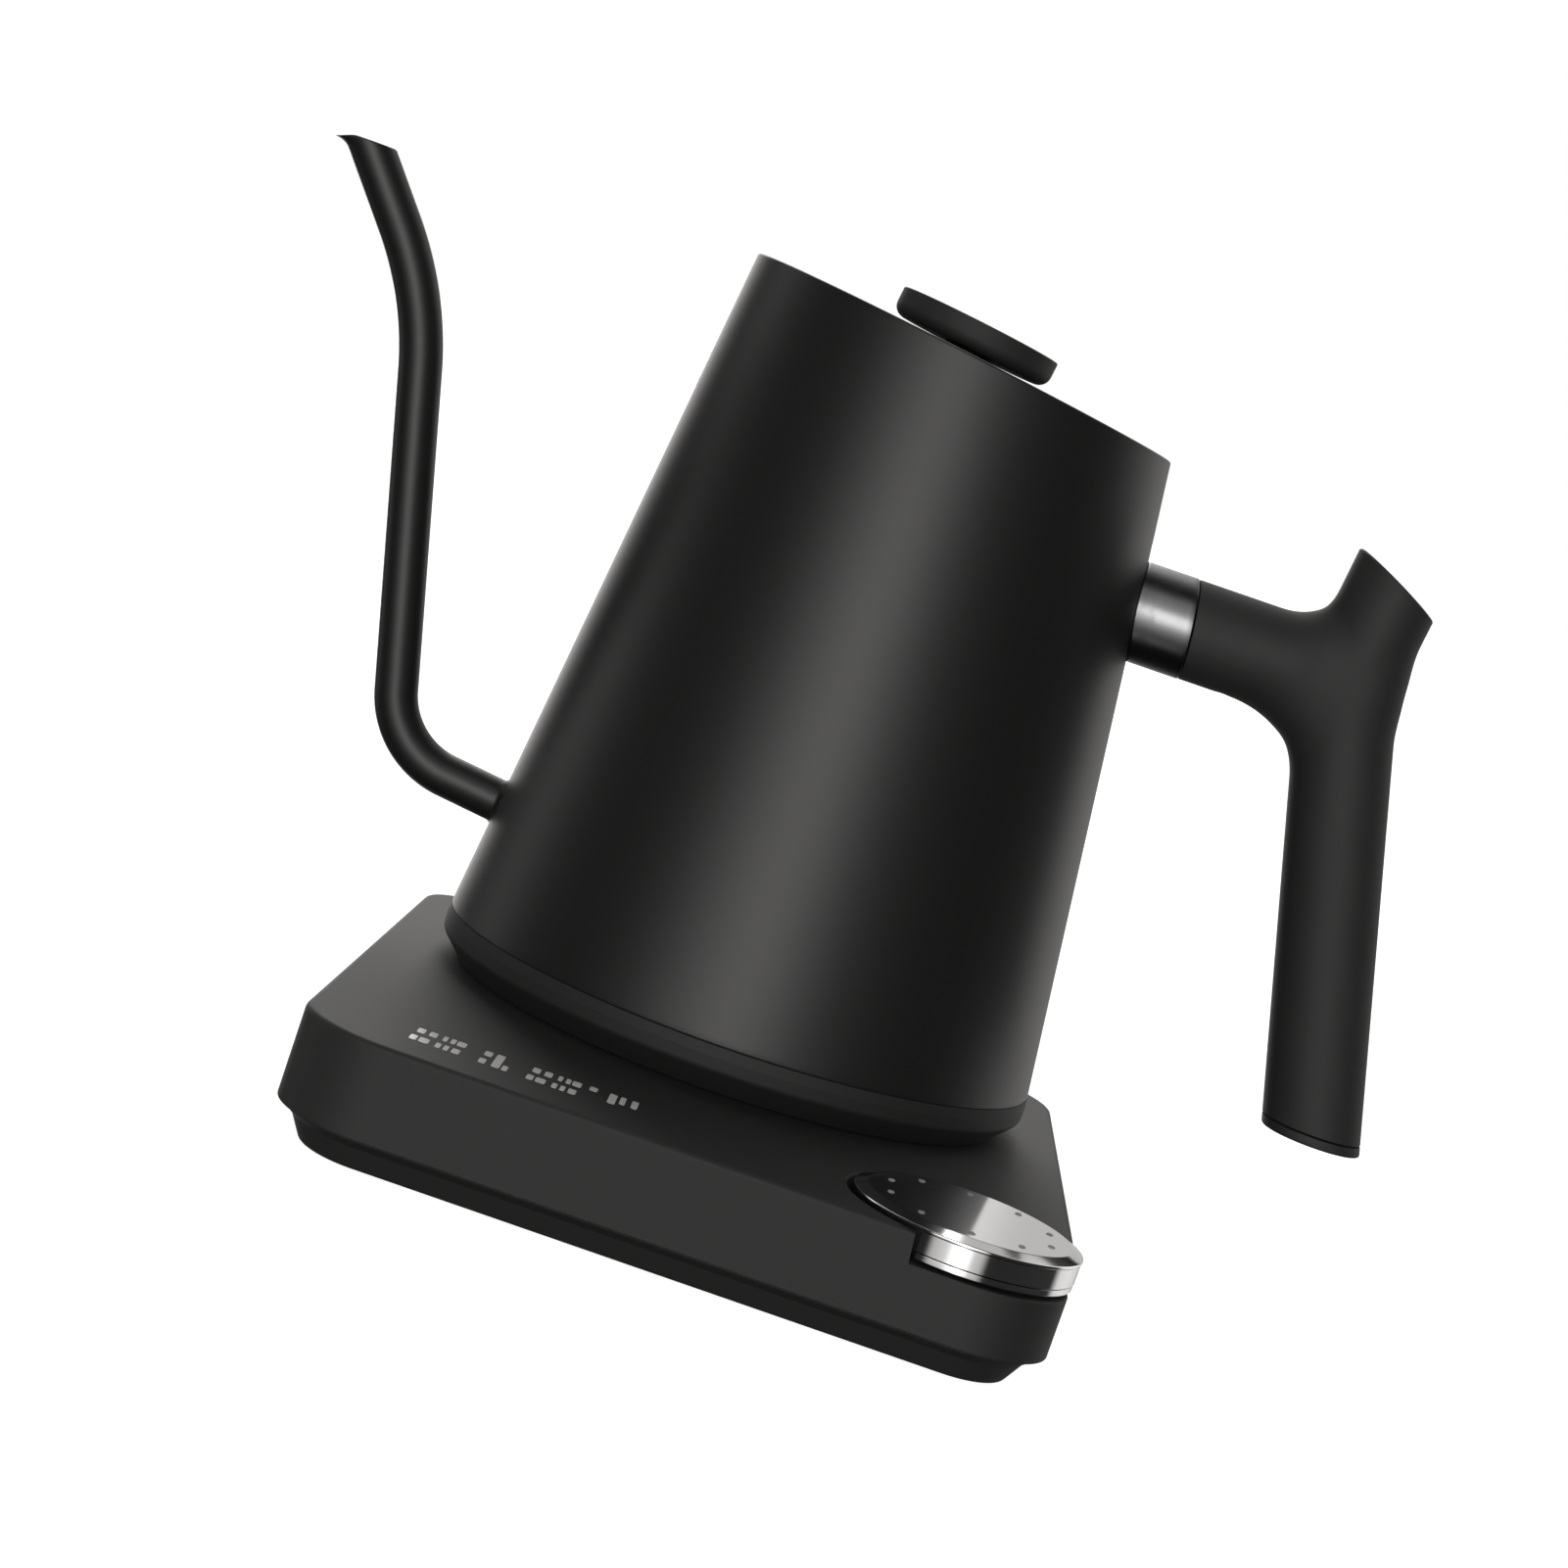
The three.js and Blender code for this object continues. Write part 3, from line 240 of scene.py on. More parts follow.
def turned(profile: Array, steps: int = 128, closed: bool = True) -> Surface:
    """A lathe shape: point (r, z) of the profile goes to (r cos a, r sin a, z) for every angle a.

    Args:
        profile: n by 2, counter-clockwise with the radius to the right and the height up.
        steps: columns round the axis.
        closed: the profile is a loop off the axis, and not a line that starts and ends on it.

    Returns:
        The surface.
    """
    angle = round_angles(steps)
    radius, height = profile[:, :1], profile[:, 1:]
    points = np.stack(
        (radius * np.cos(angle), radius * np.sin(angle), height + 0 * angle), axis=-1
    )
    return Surface.grid(points, closed)


def shifted(x: float, y: float, z: float = 0.0) -> Callable[[Array], Array]:
    """A move by fixed lengths, for Surface.placed."""
    return lambda points: points + np.array((x, y, z))


def rod(radius: float, low: float, high: float, x: float = 0.0, y: float = 0.0, steps: int = 96) -> Surface:
    """A plain upright cylinder, used to cut holes."""
    profile = np.array(((0, low), (radius, low), (radius, high), (0, high)), float)
    return turned(profile, steps, closed=False).placed(shifted(x, y))


def prism(low_ring: Array, high_ring: Array, low: float, high: float) -> Surface:
    """A solid between two outlines of as many points, both counter-clockwise from above.

    Args:
        low_ring: n by 2, outline of the lower face.
        high_ring: n by 2, outline of the upper face.
        low: height of the lower face.
        high: height of the upper face.

    Returns:
        The closed surface.
    """
    count = len(low_ring)
    rings = np.stack((
        np.column_stack((low_ring, np.full(count, low))),
        np.column_stack((high_ring, np.full(count, high))),
    ))
    side = Surface.grid(rings)
    lids = [list(range(count))[::-1], list(range(count, 2 * count))]
    return Surface(side.points, side.faces + lids)


def baked(thing: bpy.types.Object) -> bpy.types.Object:
    """Writes an object's modifiers into its mesh.

    Args:
        thing: the object, whose modifiers are then gone.

    Returns:
        The same object.
    """
    bpy.context.view_layer.update()
    graph = bpy.context.evaluated_depsgraph_get()
    mesh = bpy.data.meshes.new_from_object(thing.evaluated_get(graph))
    thing.modifiers.clear()
    thing.data = mesh
    return thing


def carved(thing: bpy.types.Object, tools: Iterable[Surface]) -> bpy.types.Object:
    """Cuts surfaces out of an object.

    Args:
        thing: the object to change.
        tools: closed surfaces.

    Returns:
        The same object.
    """
    helpers = [tool.thing("tool") for tool in tools]
    for helper in helpers:
        step = thing.modifiers.new("carve", "BOOLEAN")
        step.operation = "DIFFERENCE"
        step.solver = "EXACT"
        step.object = helper
    baked(thing)
    for helper in helpers:
        bpy.data.objects.remove(helper)
    return thing


def moved(mesh: bpy.types.Mesh, place: Callable[[Array], Array]) -> None:
    """Moves a mesh's points by a function of millimetres from the kettle's axis.

    Args:
        mesh: the mesh to change.
        place: takes the points, n by 3, and gives their new places.
    """
    flat = np.zeros(len(mesh.vertices) * 3)
    mesh.vertices.foreach_get("co", flat)
    points = place((flat.reshape(-1, 3) - AXIS) / MM)
    mesh.vertices.foreach_set("co", (points * MM + AXIS).ravel())


def softened(
    thing: bpy.types.Object, width: float, weigh: Callable[[Array, Array], Array]
) -> bpy.types.Object:
    """Rounds the edges of a cut solid, each by its own share of a width.

    Args:
        thing: the object to change.
        width: rounding at a share of one, in millimetres.
        weigh: takes the middles of the edges (n by 3, millimetres) and the angles between their
            faces (n, radians), and gives the shares (n).

    Returns:
        The same object.
    """
    mesh = thing.data
    work = bmesh.new()
    work.from_mesh(mesh)
    work.edges.ensure_lookup_table()
    middles = np.array([(edge.verts[0].co + edge.verts[1].co) / 2 for edge in work.edges])
    angles = np.array([edge.calc_face_angle(0.0) for edge in work.edges])
    work.free()
    shares = mesh.attributes.new("bevel_weight_edge", "FLOAT", "EDGE")
    shares.data.foreach_set("value", weigh((middles - AXIS) / MM, angles).astype(np.float32))
    step = thing.modifiers.new("soften", "BEVEL")
    step.limit_method = "WEIGHT"
    step.offset_type = "OFFSET"
    step.width = width * MM
    step.segments = 4
    step.use_clamp_overlap = False
    step.miter_outer = "MITER_ARC"
    return baked(thing)


def shaded(thing: bpy.types.Object, crease: float = 35.0) -> bpy.types.Object:
    """Smooth shading that large flat faces keep flat, with a break at sharp edges.

    Args:
        thing: the object to change.
        crease: angle in degrees past which an edge stays sharp.

    Returns:
        The same object.
    """
    thing.data.shade_smooth()
    thing.data.set_sharp_from_angle(angle=math.radians(crease))
    step = thing.modifiers.new("normals", "WEIGHTED_NORMAL")
    step.keep_sharp = True
    return baked(thing)


# ---------------------------------------------------------------------------------------------
# Shared effects, as node groups
# ---------------------------------------------------------------------------------------------

Socket = bpy.types.NodeSocket


def put(
    tree: bpy.types.NodeTree,
    kind: str,
    inputs: dict[str | int, object] | None = None,
    **settings: object,
) -> bpy.types.Node:
    """Adds a shader node.

    Args:
        tree: the tree that gets it.
        kind: node type without its "ShaderNode".
        inputs: value or incoming socket by input name or number.
        settings: properties of the node.

    Returns:
        The node.
    """
    node = tree.nodes.new("ShaderNode" + kind)
    for name, value in settings.items():
        setattr(node, name, value)
    for name, value in (inputs or {}).items():
        if isinstance(value, Socket):
            tree.links.new(value, node.inputs[name])
        else:
            node.inputs[name].default_value = value
    return node


def maths(tree: bpy.types.NodeTree, operation: str, first: object, second: object) -> Socket:
    """The result of one Math node on two numbers or sockets."""
    return put(tree, "Math", {0: first, 1: second}, operation=operation).outputs[0]


def emptied(owner: bpy.types.Material | bpy.types.World) -> bpy.types.NodeTree:
    """The node tree of a material or a world, with nothing in it yet."""
    owner.use_nodes = True
    owner.node_tree.nodes.clear()
    return owner.node_tree


def noise(tree: bpy.types.NodeTree, given: bpy.types.NodeOutputs, **more: object) -> Socket:
    """Noise over a group's vector, at a scale of one over its size in millimetres.

    Args:
        tree: the group's tree.
        given: sockets of the group's input.
        more: other inputs of the noise.

    Returns:
        The noise.
    """
    scale = maths(tree, "DIVIDE", 1 / MM, given["Size"])
    inputs = {"Vector": given["Vector"], "Scale": scale, **more}
    return put(tree, "TexNoise", inputs).outputs["Fac"]


class Effect:
    """A node group with named sockets, built the first time it is asked for."""

    name = "effect"
    takes: dict[str, tuple[str, float]] = {}
    gives: Sequence[str] = ()

    @classmethod
    def group(cls) -> bpy.types.NodeTree:
        """The group's tree.

        Returns:
            The tree, the same one each time.
        """
        found = bpy.data.node_groups.get(cls.name)
        if found:
            return found
        tree = bpy.data.node_groups.new(cls.name, "ShaderNodeTree")
        tree.interface.new_socket("Vector", in_out="INPUT", socket_type="NodeSocketVector")
        for name, (kind, value) in cls.takes.items():
            socket = tree.interface.new_socket(name, in_out="INPUT", socket_type=kind)
            socket.default_value = value
        for name in cls.gives:
            tree.interface.new_socket(name, in_out="OUTPUT", socket_type="NodeSocketFloat")
        given = tree.nodes.new("NodeGroupInput").outputs
        result = tree.nodes.new("NodeGroupOutput").inputs
        for name, socket in cls.wire(tree, given).items():
            tree.links.new(socket, result[name])
        return tree

    @classmethod
    def wire(cls, tree: bpy.types.NodeTree, given: bpy.types.NodeOutputs) -> dict[str, Socket]:
        """Fills the group.

        Args:
            tree: the group's tree.
            given: sockets of the group's input.

        Returns:
            The socket for each named output.
        """
        raise NotImplementedError

    @classmethod
    def place(cls, tree: bpy.types.NodeTree, vector: Socket, **values: float) -> bpy.types.Node:
        """Puts the group into a material.

        Args:
            tree: the material's tree.
            vector: the place it reads.
            values: its inputs, with _ for a space.

        Returns:
            The group node.
        """
        node = tree.nodes.new("ShaderNodeGroup")
        node.node_tree = cls.group()
        tree.links.new(vector, node.inputs["Vector"])
        for name, value in values.items():
            node.inputs[name.replace("_", " ").capitalize()].default_value = value
        return node


class FineGrain(Effect):
    """The tiny bumps of a powder coat or of textured plastic, as a height from 0 to 1."""

    name = "fine_grain"
    takes = {"Size": ("NodeSocketFloat", 0.2), "Roughness": ("NodeSocketFloat", 0.6)}
    gives = ("Height",)

    @classmethod
    def wire(cls, tree: bpy.types.NodeTree, given: bpy.types.NodeOutputs) -> dict[str, Socket]:
        """Noise whose scale is one over the grain's size in millimetres, softly stepped."""
        bumps = noise(tree, given, Detail=2.0, Roughness=given["Roughness"])
        steep = put(tree, "MapRange", {
            "Value": bumps,
            "From Min": 0.3,
            "From Max": 0.7,
        }, interpolation_type="SMOOTHSTEP")
        return {"Height": steep.outputs["Result"]}


class Smudges(Effect):
    """Soft patches left by handling, from 0 to 1."""

    name = "smudges"
    takes = {"Size": ("NodeSocketFloat", 20.0), "Cover": ("NodeSocketFloat", 0.4)}
    gives = ("Mask",)

    @classmethod
    def wire(cls, tree: bpy.types.NodeTree, given: bpy.types.NodeOutputs) -> dict[str, Socket]:
        """Warped noise, kept where it is above one minus the covered share."""
        patches = noise(tree, given, Detail=4.0, Roughness=0.55, Distortion=0.6)
        start = maths(tree, "SUBTRACT", 0.75, given["Cover"])
        mask = put(tree, "MapRange", {
            "Value": patches,
            "From Min": start,
            "From Max": maths(tree, "ADD", start, 0.3),
        }, interpolation_type="SMOOTHSTEP")
        return {"Mask": mask.outputs["Result"]}


class BrushedLines(Effect):
    """Fine lines left by brushing or turning, as a height and a shade from 0 to 1."""

    name = "brushed_lines"
    takes = {"Spacing": ("NodeSocketFloat", 0.25), "Length": ("NodeSocketFloat", 30.0)}
    gives = ("Height", "Shade")

    @classmethod
    def wire(cls, tree: bpy.types.NodeTree, given: bpy.types.NodeOutputs) -> dict[str, Socket]:
        """Noise that is tight along the vector's Z and long along its X and Y."""
        tight = maths(tree, "DIVIDE", 1 / MM, given["Spacing"])
        slack = maths(tree, "DIVIDE", 1 / MM, given["Length"])
        stretch = put(tree, "CombineXYZ", {0: slack, 1: slack, 2: tight}).outputs[0]
        drawn = put(tree, "VectorMath", {0: given["Vector"], 1: stretch}, operation="MULTIPLY")
        streaks = put(tree, "TexNoise", {"Vector": drawn.outputs[0], "Scale": 1.0, "Detail": 3.0})
        height = streaks.outputs["Fac"]
        shade = put(tree, "MapRange", {"Value": height, "From Min": 0.35, "From Max": 0.65})
        return {"Height": height, "Shade": shade.outputs["Result"]}


class Dust(Effect):
    """A thin settling of dust on faces that look up, from 0 to 1."""

    name = "dust"
    takes = {"Amount": ("NodeSocketFloat", 0.3), "Size": ("NodeSocketFloat", 6.0)}
    gives = ("Mask",)

    @classmethod
    def wire(cls, tree: bpy.types.NodeTree, given: bpy.types.NodeOutputs) -> dict[str, Socket]:
        """The upward share of the normal, past a slope of 45 degrees, times patchy noise."""
        facing = put(tree, "SeparateXYZ", {0: put(tree, "NewGeometry").outputs["Normal"]})
        upward = put(tree, "MapRange", {"Value": facing.outputs["Z"], "From Min": 0.7, "From Max": 1.0})
        patches = noise(tree, given, Detail=6.0, Roughness=0.7)
        patchy = maths(tree, "MULTIPLY", upward.outputs[0], patches)
        return {"Mask": maths(tree, "MULTIPLY", patchy, given["Amount"])}


# ---------------------------------------------------------------------------------------------
# Finishes
# ---------------------------------------------------------------------------------------------

Colour = tuple[float, float, float]


class Lay(Enum):
    """Which way brushed lines run."""

    ROUND_THE_AXIS = "rings about the kettle's upright axis"
    LEVEL = "level lines that stay at one height"
    LENGTHWAYS = "lines along the frame's X"


@dataclass(frozen=True)
class Finish:
    """A material with grain, smudges and dust.

    Attributes:
        slot: the record's material slot.
        colour: main colour.
        worn: colour in smudged patches.
        roughness: in clean places.
        smudged_roughness: in smudged patches.
        metallic: 0 for paint and plastic, 1 for metal.
        grain: size of the surface's grain in millimetres.
        depth: height of the grain in millimetres.
        smudge: size of the smudges in millimetres.
        cover: share of the surface that is smudged.
        dust: amount of dust on upward faces.
        coat: weight of a clear coat.
        specular: specular level.
        ior: index of refraction.
        name: name of the material, where it isn't the slot's.
    """

    slot: str
    colour: Colour
    worn: Colour
    roughness: float
    smudged_roughness: float
    metallic: float = 0.0
    grain: float = 0.25
    depth: float = 0.01
    smudge: float = 25.0
    cover: float = 0.35
    dust: float = 0.1
    coat: float = 0.0
    specular: float = 0.5
    ior: float = 1.5
    name: str = ""

    def material(self) -> bpy.types.Material:
        """The material of this name.

        Where one is there already it is used as it is.

        Returns:
            The material, the same one each time.
        """
        name = self.name or self.slot
        found = bpy.data.materials.get(name)
        if found:
            return found
        material = bpy.data.materials.new(name)
        tree = emptied(material)
        shader = put(tree, "BsdfPrincipled", {
            "Metallic": self.metallic,
            "Coat Weight": self.coat,
            "Coat Roughness": 0.12,
            "Specular IOR Level": self.specular,
            "IOR": self.ior,
        })
        result = tree.nodes.new("ShaderNodeOutputMaterial")
        tree.links.new(shader.outputs[0], result.inputs["Surface"])
        place = put(tree, "TexCoord").outputs["Object"]
        self.dress(tree, shader, place)
        return material

    def dress(self, tree: bpy.types.NodeTree, shader: bpy.types.Node, place: Socket) -> None:
        """Wires colour, roughness and bump into the shader.

        Args:
            tree: the material's tree.
            shader: its Principled BSDF.
            place: object coordinates.
        """
        smudge = Smudges.place(tree, place, size=self.smudge, cover=self.cover).outputs["Mask"]
        dust = Dust.place(tree, place, amount=self.dust).outputs["Mask"]
        self.shade(tree, shader, self.ground(tree, place), smudge, dust)
        grain = FineGrain.place(tree, place, size=self.grain).outputs["Height"]
        self.bump(tree, shader, grain, self.depth)

    def ground(self, tree: bpy.types.NodeTree, place: Socket) -> Socket | Colour:
        """The colour under the smudges."""
        return self.colour

    def shade(
        self,
        tree: bpy.types.NodeTree,
        shader: bpy.types.Node,
        ground: Socket | Colour,
        smudge: Socket,
        dust: Socket,
    ) -> None:
        """Mixes the smudged colour and the dust over the ground, and roughens the smudges.

        Args:
            tree: the material's tree.
            shader: its Principled BSDF.
            ground: colour under the smudges.
            smudge: mask of the smudges.
            dust: mask of the dust.
        """
        base = self.tint(ground)
        patchy = mixed(tree, smudge, base, self.tint(self.worn))
        dusty = mixed(tree, dust, patchy, (0.42, 0.40, 0.38, 1.0))
        tree.links.new(dusty, shader.inputs["Base Color"])
        rough = put(tree, "MapRange", {
            "Value": smudge,
            "To Min": self.roughness,
            "To Max": self.smudged_roughness,
        })
        tree.links.new(rough.outputs["Result"], shader.inputs["Roughness"])

    @staticmethod
    def tint(colour: Socket | Colour) -> Socket | tuple[float, float, float, float]:
        """A colour with its alpha, or the socket as it is."""
        return colour if isinstance(colour, Socket) else (*colour, 1.0)

    @staticmethod
    def bump(tree: bpy.types.NodeTree, shader: bpy.types.Node, height: Socket, depth: float) -> None:
        """Feeds a height of some millimetres to the shader's normal."""
        bump = put(tree, "Bump", {"Height": height, "Strength": 1.0, "Distance": depth * MM})
        tree.links.new(bump.outputs[0], shader.inputs["Normal"])


def mixed(tree: bpy.types.NodeTree, share: Socket, first: object, second: object) -> Socket:
    """A colour that goes from the first to the second as the share goes from 0 to 1.

    Args:
        tree: the tree that gets the node.
        share: the mask.
        first: colour or socket at 0.
        second: colour or socket at 1.

    Returns:
        The mixed colour.
    """
    node = put(tree, "Mix", data_type="RGBA")
    for name, value in (("Factor_Float", share), ("A_Color", first), ("B_Color", second)):
        socket = next(s for s in node.inputs if s.identifier == name)
        if isinstance(value, Socket):
            tree.links.new(value, socket)
        else:
            socket.default_value = value
    return next(s for s in node.outputs if s.identifier == "Result_Color")


@dataclass(frozen=True)
class Brushed(Finish):
    """Metal with fine lines.

    Attributes:
        lay: which way the lines run.
        spacing: distance between lines in millimetres.
    """

    lay: Lay = Lay.ROUND_THE_AXIS
    spacing: float = 0.3

    def dress(self, tree: bpy.types.NodeTree, shader: bpy.types.Node, place: Socket) -> None:
        """Wires lines, smudges and dust; the lines shade the metal and bump it."""
        lines = BrushedLines.place(tree, self.along(tree, place), spacing=self.spacing)
        smudge = Smudges.place(tree, place, size=self.smudge, cover=self.cover).outputs["Mask"]
        dust = Dust.place(tree, place, amount=self.dust).outputs["Mask"]
        darker = (*(0.82 * part for part in self.colour), 1.0)
        metal = mixed(tree, lines.outputs["Shade"], darker, (*self.colour, 1.0))
        self.shade(tree, shader, metal, smudge, dust)
        self.bump(tree, shader, lines.outputs["Height"], self.depth)

    def along(self, tree: bpy.types.NodeTree, place: Socket) -> Socket:
        """The place turned so that Z crosses the lines.

        Args:
            tree: the material's tree.
            place: object coordinates.

        Returns:
            The turned place: for rings, Z is the distance from the kettle's axis plus the height.
        """
        centred = put(tree, "VectorMath", {0: place, 1: AXIS.tolist()}, operation="SUBTRACT").outputs[0]
        if self.lay is Lay.LEVEL:
            return centred
        parts = put(tree, "SeparateXYZ", {0: centred}).outputs
        if self.lay is Lay.LENGTHWAYS:
            return put(tree, "CombineXYZ", {0: parts["X"], 1: parts["X"], 2: parts["Y"]}).outputs[0]
        flat = put(tree, "CombineXYZ", {0: parts["X"], 1: parts["Y"]}).outputs[0]
        away = put(tree, "VectorMath", {0: flat}, operation="LENGTH").outputs["Value"]
        across = maths(tree, "ADD", away, parts["Z"])
        return put(tree, "CombineXYZ", {0: parts["X"], 1: parts["Y"], 2: across}).outputs[0]


@dataclass(frozen=True)
class Circuit(Finish):
    """Green circuit board with copper tracks under its lacquer."""

    def ground(self, tree: bpy.types.NodeTree, place: Socket) -> Socket | Colour:
        """Tracks where a square-celled noise is close to the middle of its range."""
        cells = put(tree, "TexVoronoi", {"Vector": place, "Scale": 260.0}, distance="CHEBYCHEV")
        distance = cells.outputs["Distance"]
        track = put(tree, "MapRange", {"Value": distance, "From Min": 0.42, "From Max": 0.5})
        return mixed(tree, track.outputs["Result"], (*self.colour, 1.0), (0.05, 0.19, 0.07, 1.0))


@dataclass(frozen=True)
class Glowing(Finish):
    """Print with a glow of its own: on the light guide it stands for the indicator light,
    and on the base's printed marks it is a painted glow that makes the print read brighter.

    Attributes:
        glow: strength of its own light, which on the printed marks is a painted glow.
    """

    glow: float = 0.4

    def dress(self, tree: bpy.types.NodeTree, shader: bpy.types.Node, place: Socket) -> None:
        """As a plain finish, with a faintly uneven glow of its own; on the printed marks it is painted light.
        """
        super().dress(tree, shader, place)
        uneven = Smudges.place(tree, place, size=3.0, cover=0.5).outputs["Mask"]
        light = mixed(tree, uneven, (0.85, 0.88, 0.9, 1.0), (1.0, 1.0, 1.0, 1.0))
        tree.links.new(light, shader.inputs["Emission Color"])
        shader.inputs["Emission Strength"].default_value = self.glow


COAT = Finish(
    "coated_steel", (0.0065, 0.0062, 0.0060), (0.0090, 0.0086, 0.0083), 0.26, 0.31,
    grain=0.22, depth=0.0035, smudge=38.0, cover=0.3, dust=0.03, specular=1.0, ior=1.6,
)
HOUSING = Finish(
    "housing_plastic", (0.0032, 0.0032, 0.0033), (0.0052, 0.0051, 0.0050), 0.30, 0.38,
    grain=0.18, depth=0.004, smudge=24.0, dust=0.05, specular=1.0, ior=1.58,
)
CASING = Finish(
    "base_plastic", (0.0042, 0.0042, 0.0043), (0.0062, 0.0061, 0.0060), 0.19, 0.25,
    grain=0.16, depth=0.004, smudge=30.0, dust=0.05,
)
GRIP = Finish(
    "grip_plastic", (0.0032, 0.0031, 0.0030), (0.0055, 0.0053, 0.0052), 0.23, 0.30,
    grain=0.2, depth=0.005, smudge=22.0, dust=0.04, specular=1.0, ior=1.85,
)
SATIN_CHROME = Finish(
    "chrome", (0.15, 0.15, 0.155), (0.125, 0.125, 0.13), 0.30, 0.37,
    metallic=1.0, grain=0.4, depth=0.0005, smudge=6.0, cover=0.3, dust=0.02, name="satin_chrome",
)
DIAL_PRINT = Finish(
    "indicator_white", (0.27, 0.27, 0.27), (0.22, 0.22, 0.22), 0.50, 0.60,
    grain=0.12, depth=0.004, smudge=2.0, specular=0.2, name="dial_print",
)
CHROME = Finish(
    "chrome", (0.66, 0.66, 0.67), (0.60, 0.60, 0.61), 0.08, 0.14,
    metallic=1.0, grain=0.6, depth=0.0003, smudge=9.0, cover=0.3, dust=0.02,
)
STEEL = Brushed(
    "steel", (0.56, 0.55, 0.54), (0.48, 0.47, 0.46), 0.26, 0.36,
    metallic=1.0, depth=0.004, dust=0.03, lay=Lay.ROUND_THE_AXIS,
)
ALUMINIUM = Brushed(
    "aluminium", (0.70, 0.70, 0.71), (0.60, 0.60, 0.60), 0.32, 0.42,
    metallic=1.0, depth=0.004, lay=Lay.LENGTHWAYS, spacing=0.4,
)
BRASS = Brushed(
    "brass", (0.72, 0.50, 0.20), (0.50, 0.34, 0.14), 0.22, 0.38,
    metallic=1.0, depth=0.002, smudge=3.0, lay=Lay.LEVEL, spacing=0.15,
)
RUBBER = Finish(
    "rubber", (0.020, 0.020, 0.021), (0.040, 0.039, 0.038), 0.72, 0.85,
    grain=0.35, depth=0.02, smudge=6.0, dust=0.2, specular=0.35,
)
SILICONE = Finish(
    "silicone", (0.16, 0.16, 0.17), (0.20, 0.20, 0.205), 0.45, 0.58,
    grain=0.5, depth=0.008, smudge=8.0, dust=0.25,
)
BOARD = Circuit(
    "circuit_board", (0.012, 0.095, 0.035), (0.02, 0.12, 0.05), 0.30, 0.42,
    grain=0.8, depth=0.02, smudge=8.0, dust=0.3, coat=0.4,
)
# Its glow is painted light on the base's printed marks, and stands for the indicator light on the light
# guide.
GLOWING_PRINT = Glowing(
    "indicator_white", (0.80, 0.81, 0.82), (0.70, 0.71, 0.72), 0.45, 0.55,
    grain=0.12, depth=0.004, smudge=2.0,
)
WHITE = Finish(
    "white_plastic", (0.78, 0.77, 0.74), (0.66, 0.65, 0.61), 0.38, 0.5,
    grain=0.4, depth=0.01, smudge=10.0, dust=0.3,
)


# ---------------------------------------------------------------------------------------------
# Pieces
# ---------------------------------------------------------------------------------------------


def piece(
    thing: bpy.types.Object,
    body: str,
    finish: Finish,
    replaces: Sequence[str] = (),
    second: Finish | None = None,
    crease: float = 35.0,
) -> bpy.types.Object:
    """Shades an object, dresses it and hands it to the frame.

    Args:
        thing: the object, at its place.
        body: CAD body it rides on.
        finish: its material.
        replaces: CAD nodes it stands for.
        second: material of the faces painted 1.
        crease: angle in degrees past which an edge stays sharp.

    Returns:
        The object.
    """
    shaded(thing, crease)
    numbers = np.zeros(len(thing.data.polygons), np.int32)
    thing.data.polygons.foreach_get("material_index", numbers)
    thing.data.materials.clear()
    thing.data.materials.append(finish.material())
    if second:
        thing.data.materials.append(second.material())
    thing.data.polygons.foreach_set("material_index", numbers if second else 0 * numbers)
    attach(thing, body)
    if replaces:
        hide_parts(*replaces)
    log.info("%s: %d faces, rides on %s", thing.name, len(thing.data.polygons), body)
    return thing


def dress_nodes(finish: Finish, *nodes: str) -> None:
    """Gives CAD nodes that keep their shape a finish.

    Args:
        finish: the material.
        nodes: names of the CAD nodes.
    """
    for name in nodes:
        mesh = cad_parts[name].data
        mesh.materials.clear()
        mesh.materials.append(finish.material())
        log.info("%s keeps its shape, in %s", name, finish.slot)


@dataclass
class Screw:
    """A socket head screw that stands head down.

    Attributes:
        socket: radius of its six-sided socket as a share of the head's radius.
        socket_depth: depth of the socket.
        shank: radius of its shank as a share of the head's radius.
        head: height of the head.
    """

    socket: float = 0.5
    socket_depth: float = 1.1
    shank: float = 0.55
    head: float = 1.6

    def build(self, node: str, body: str) -> None:
        """Makes the screw in the box of its CAD node.

        Args:
            node: the CAD node.
            body: CAD body it rides on.
        """
        low, high = span(node)
        centre = middle(node)
        radius = girth(node)
        shank = self.shank * radius
        head_top = low[2] + self.head
        profile = np.vstack(((0, low[2]), rounded((
            (radius, low[2], 0.4),
            (radius, head_top, 0.1),
            (shank, head_top, 0.1),
            (shank, high[2], 0.3),
            (0, high[2], 0),
        ), closed=False)))
        profile[1] = (radius - 0.4, low[2])
        screw = turned(profile, 48, closed=False).placed(shifted(*centre[:2]))
        key = rod(self.socket * radius, low[2] - 1, low[2] + self.socket_depth, *centre[:2], steps=6)
        piece(carved(screw.thing(node + "_screw"), [key]), body, STEEL, [node])


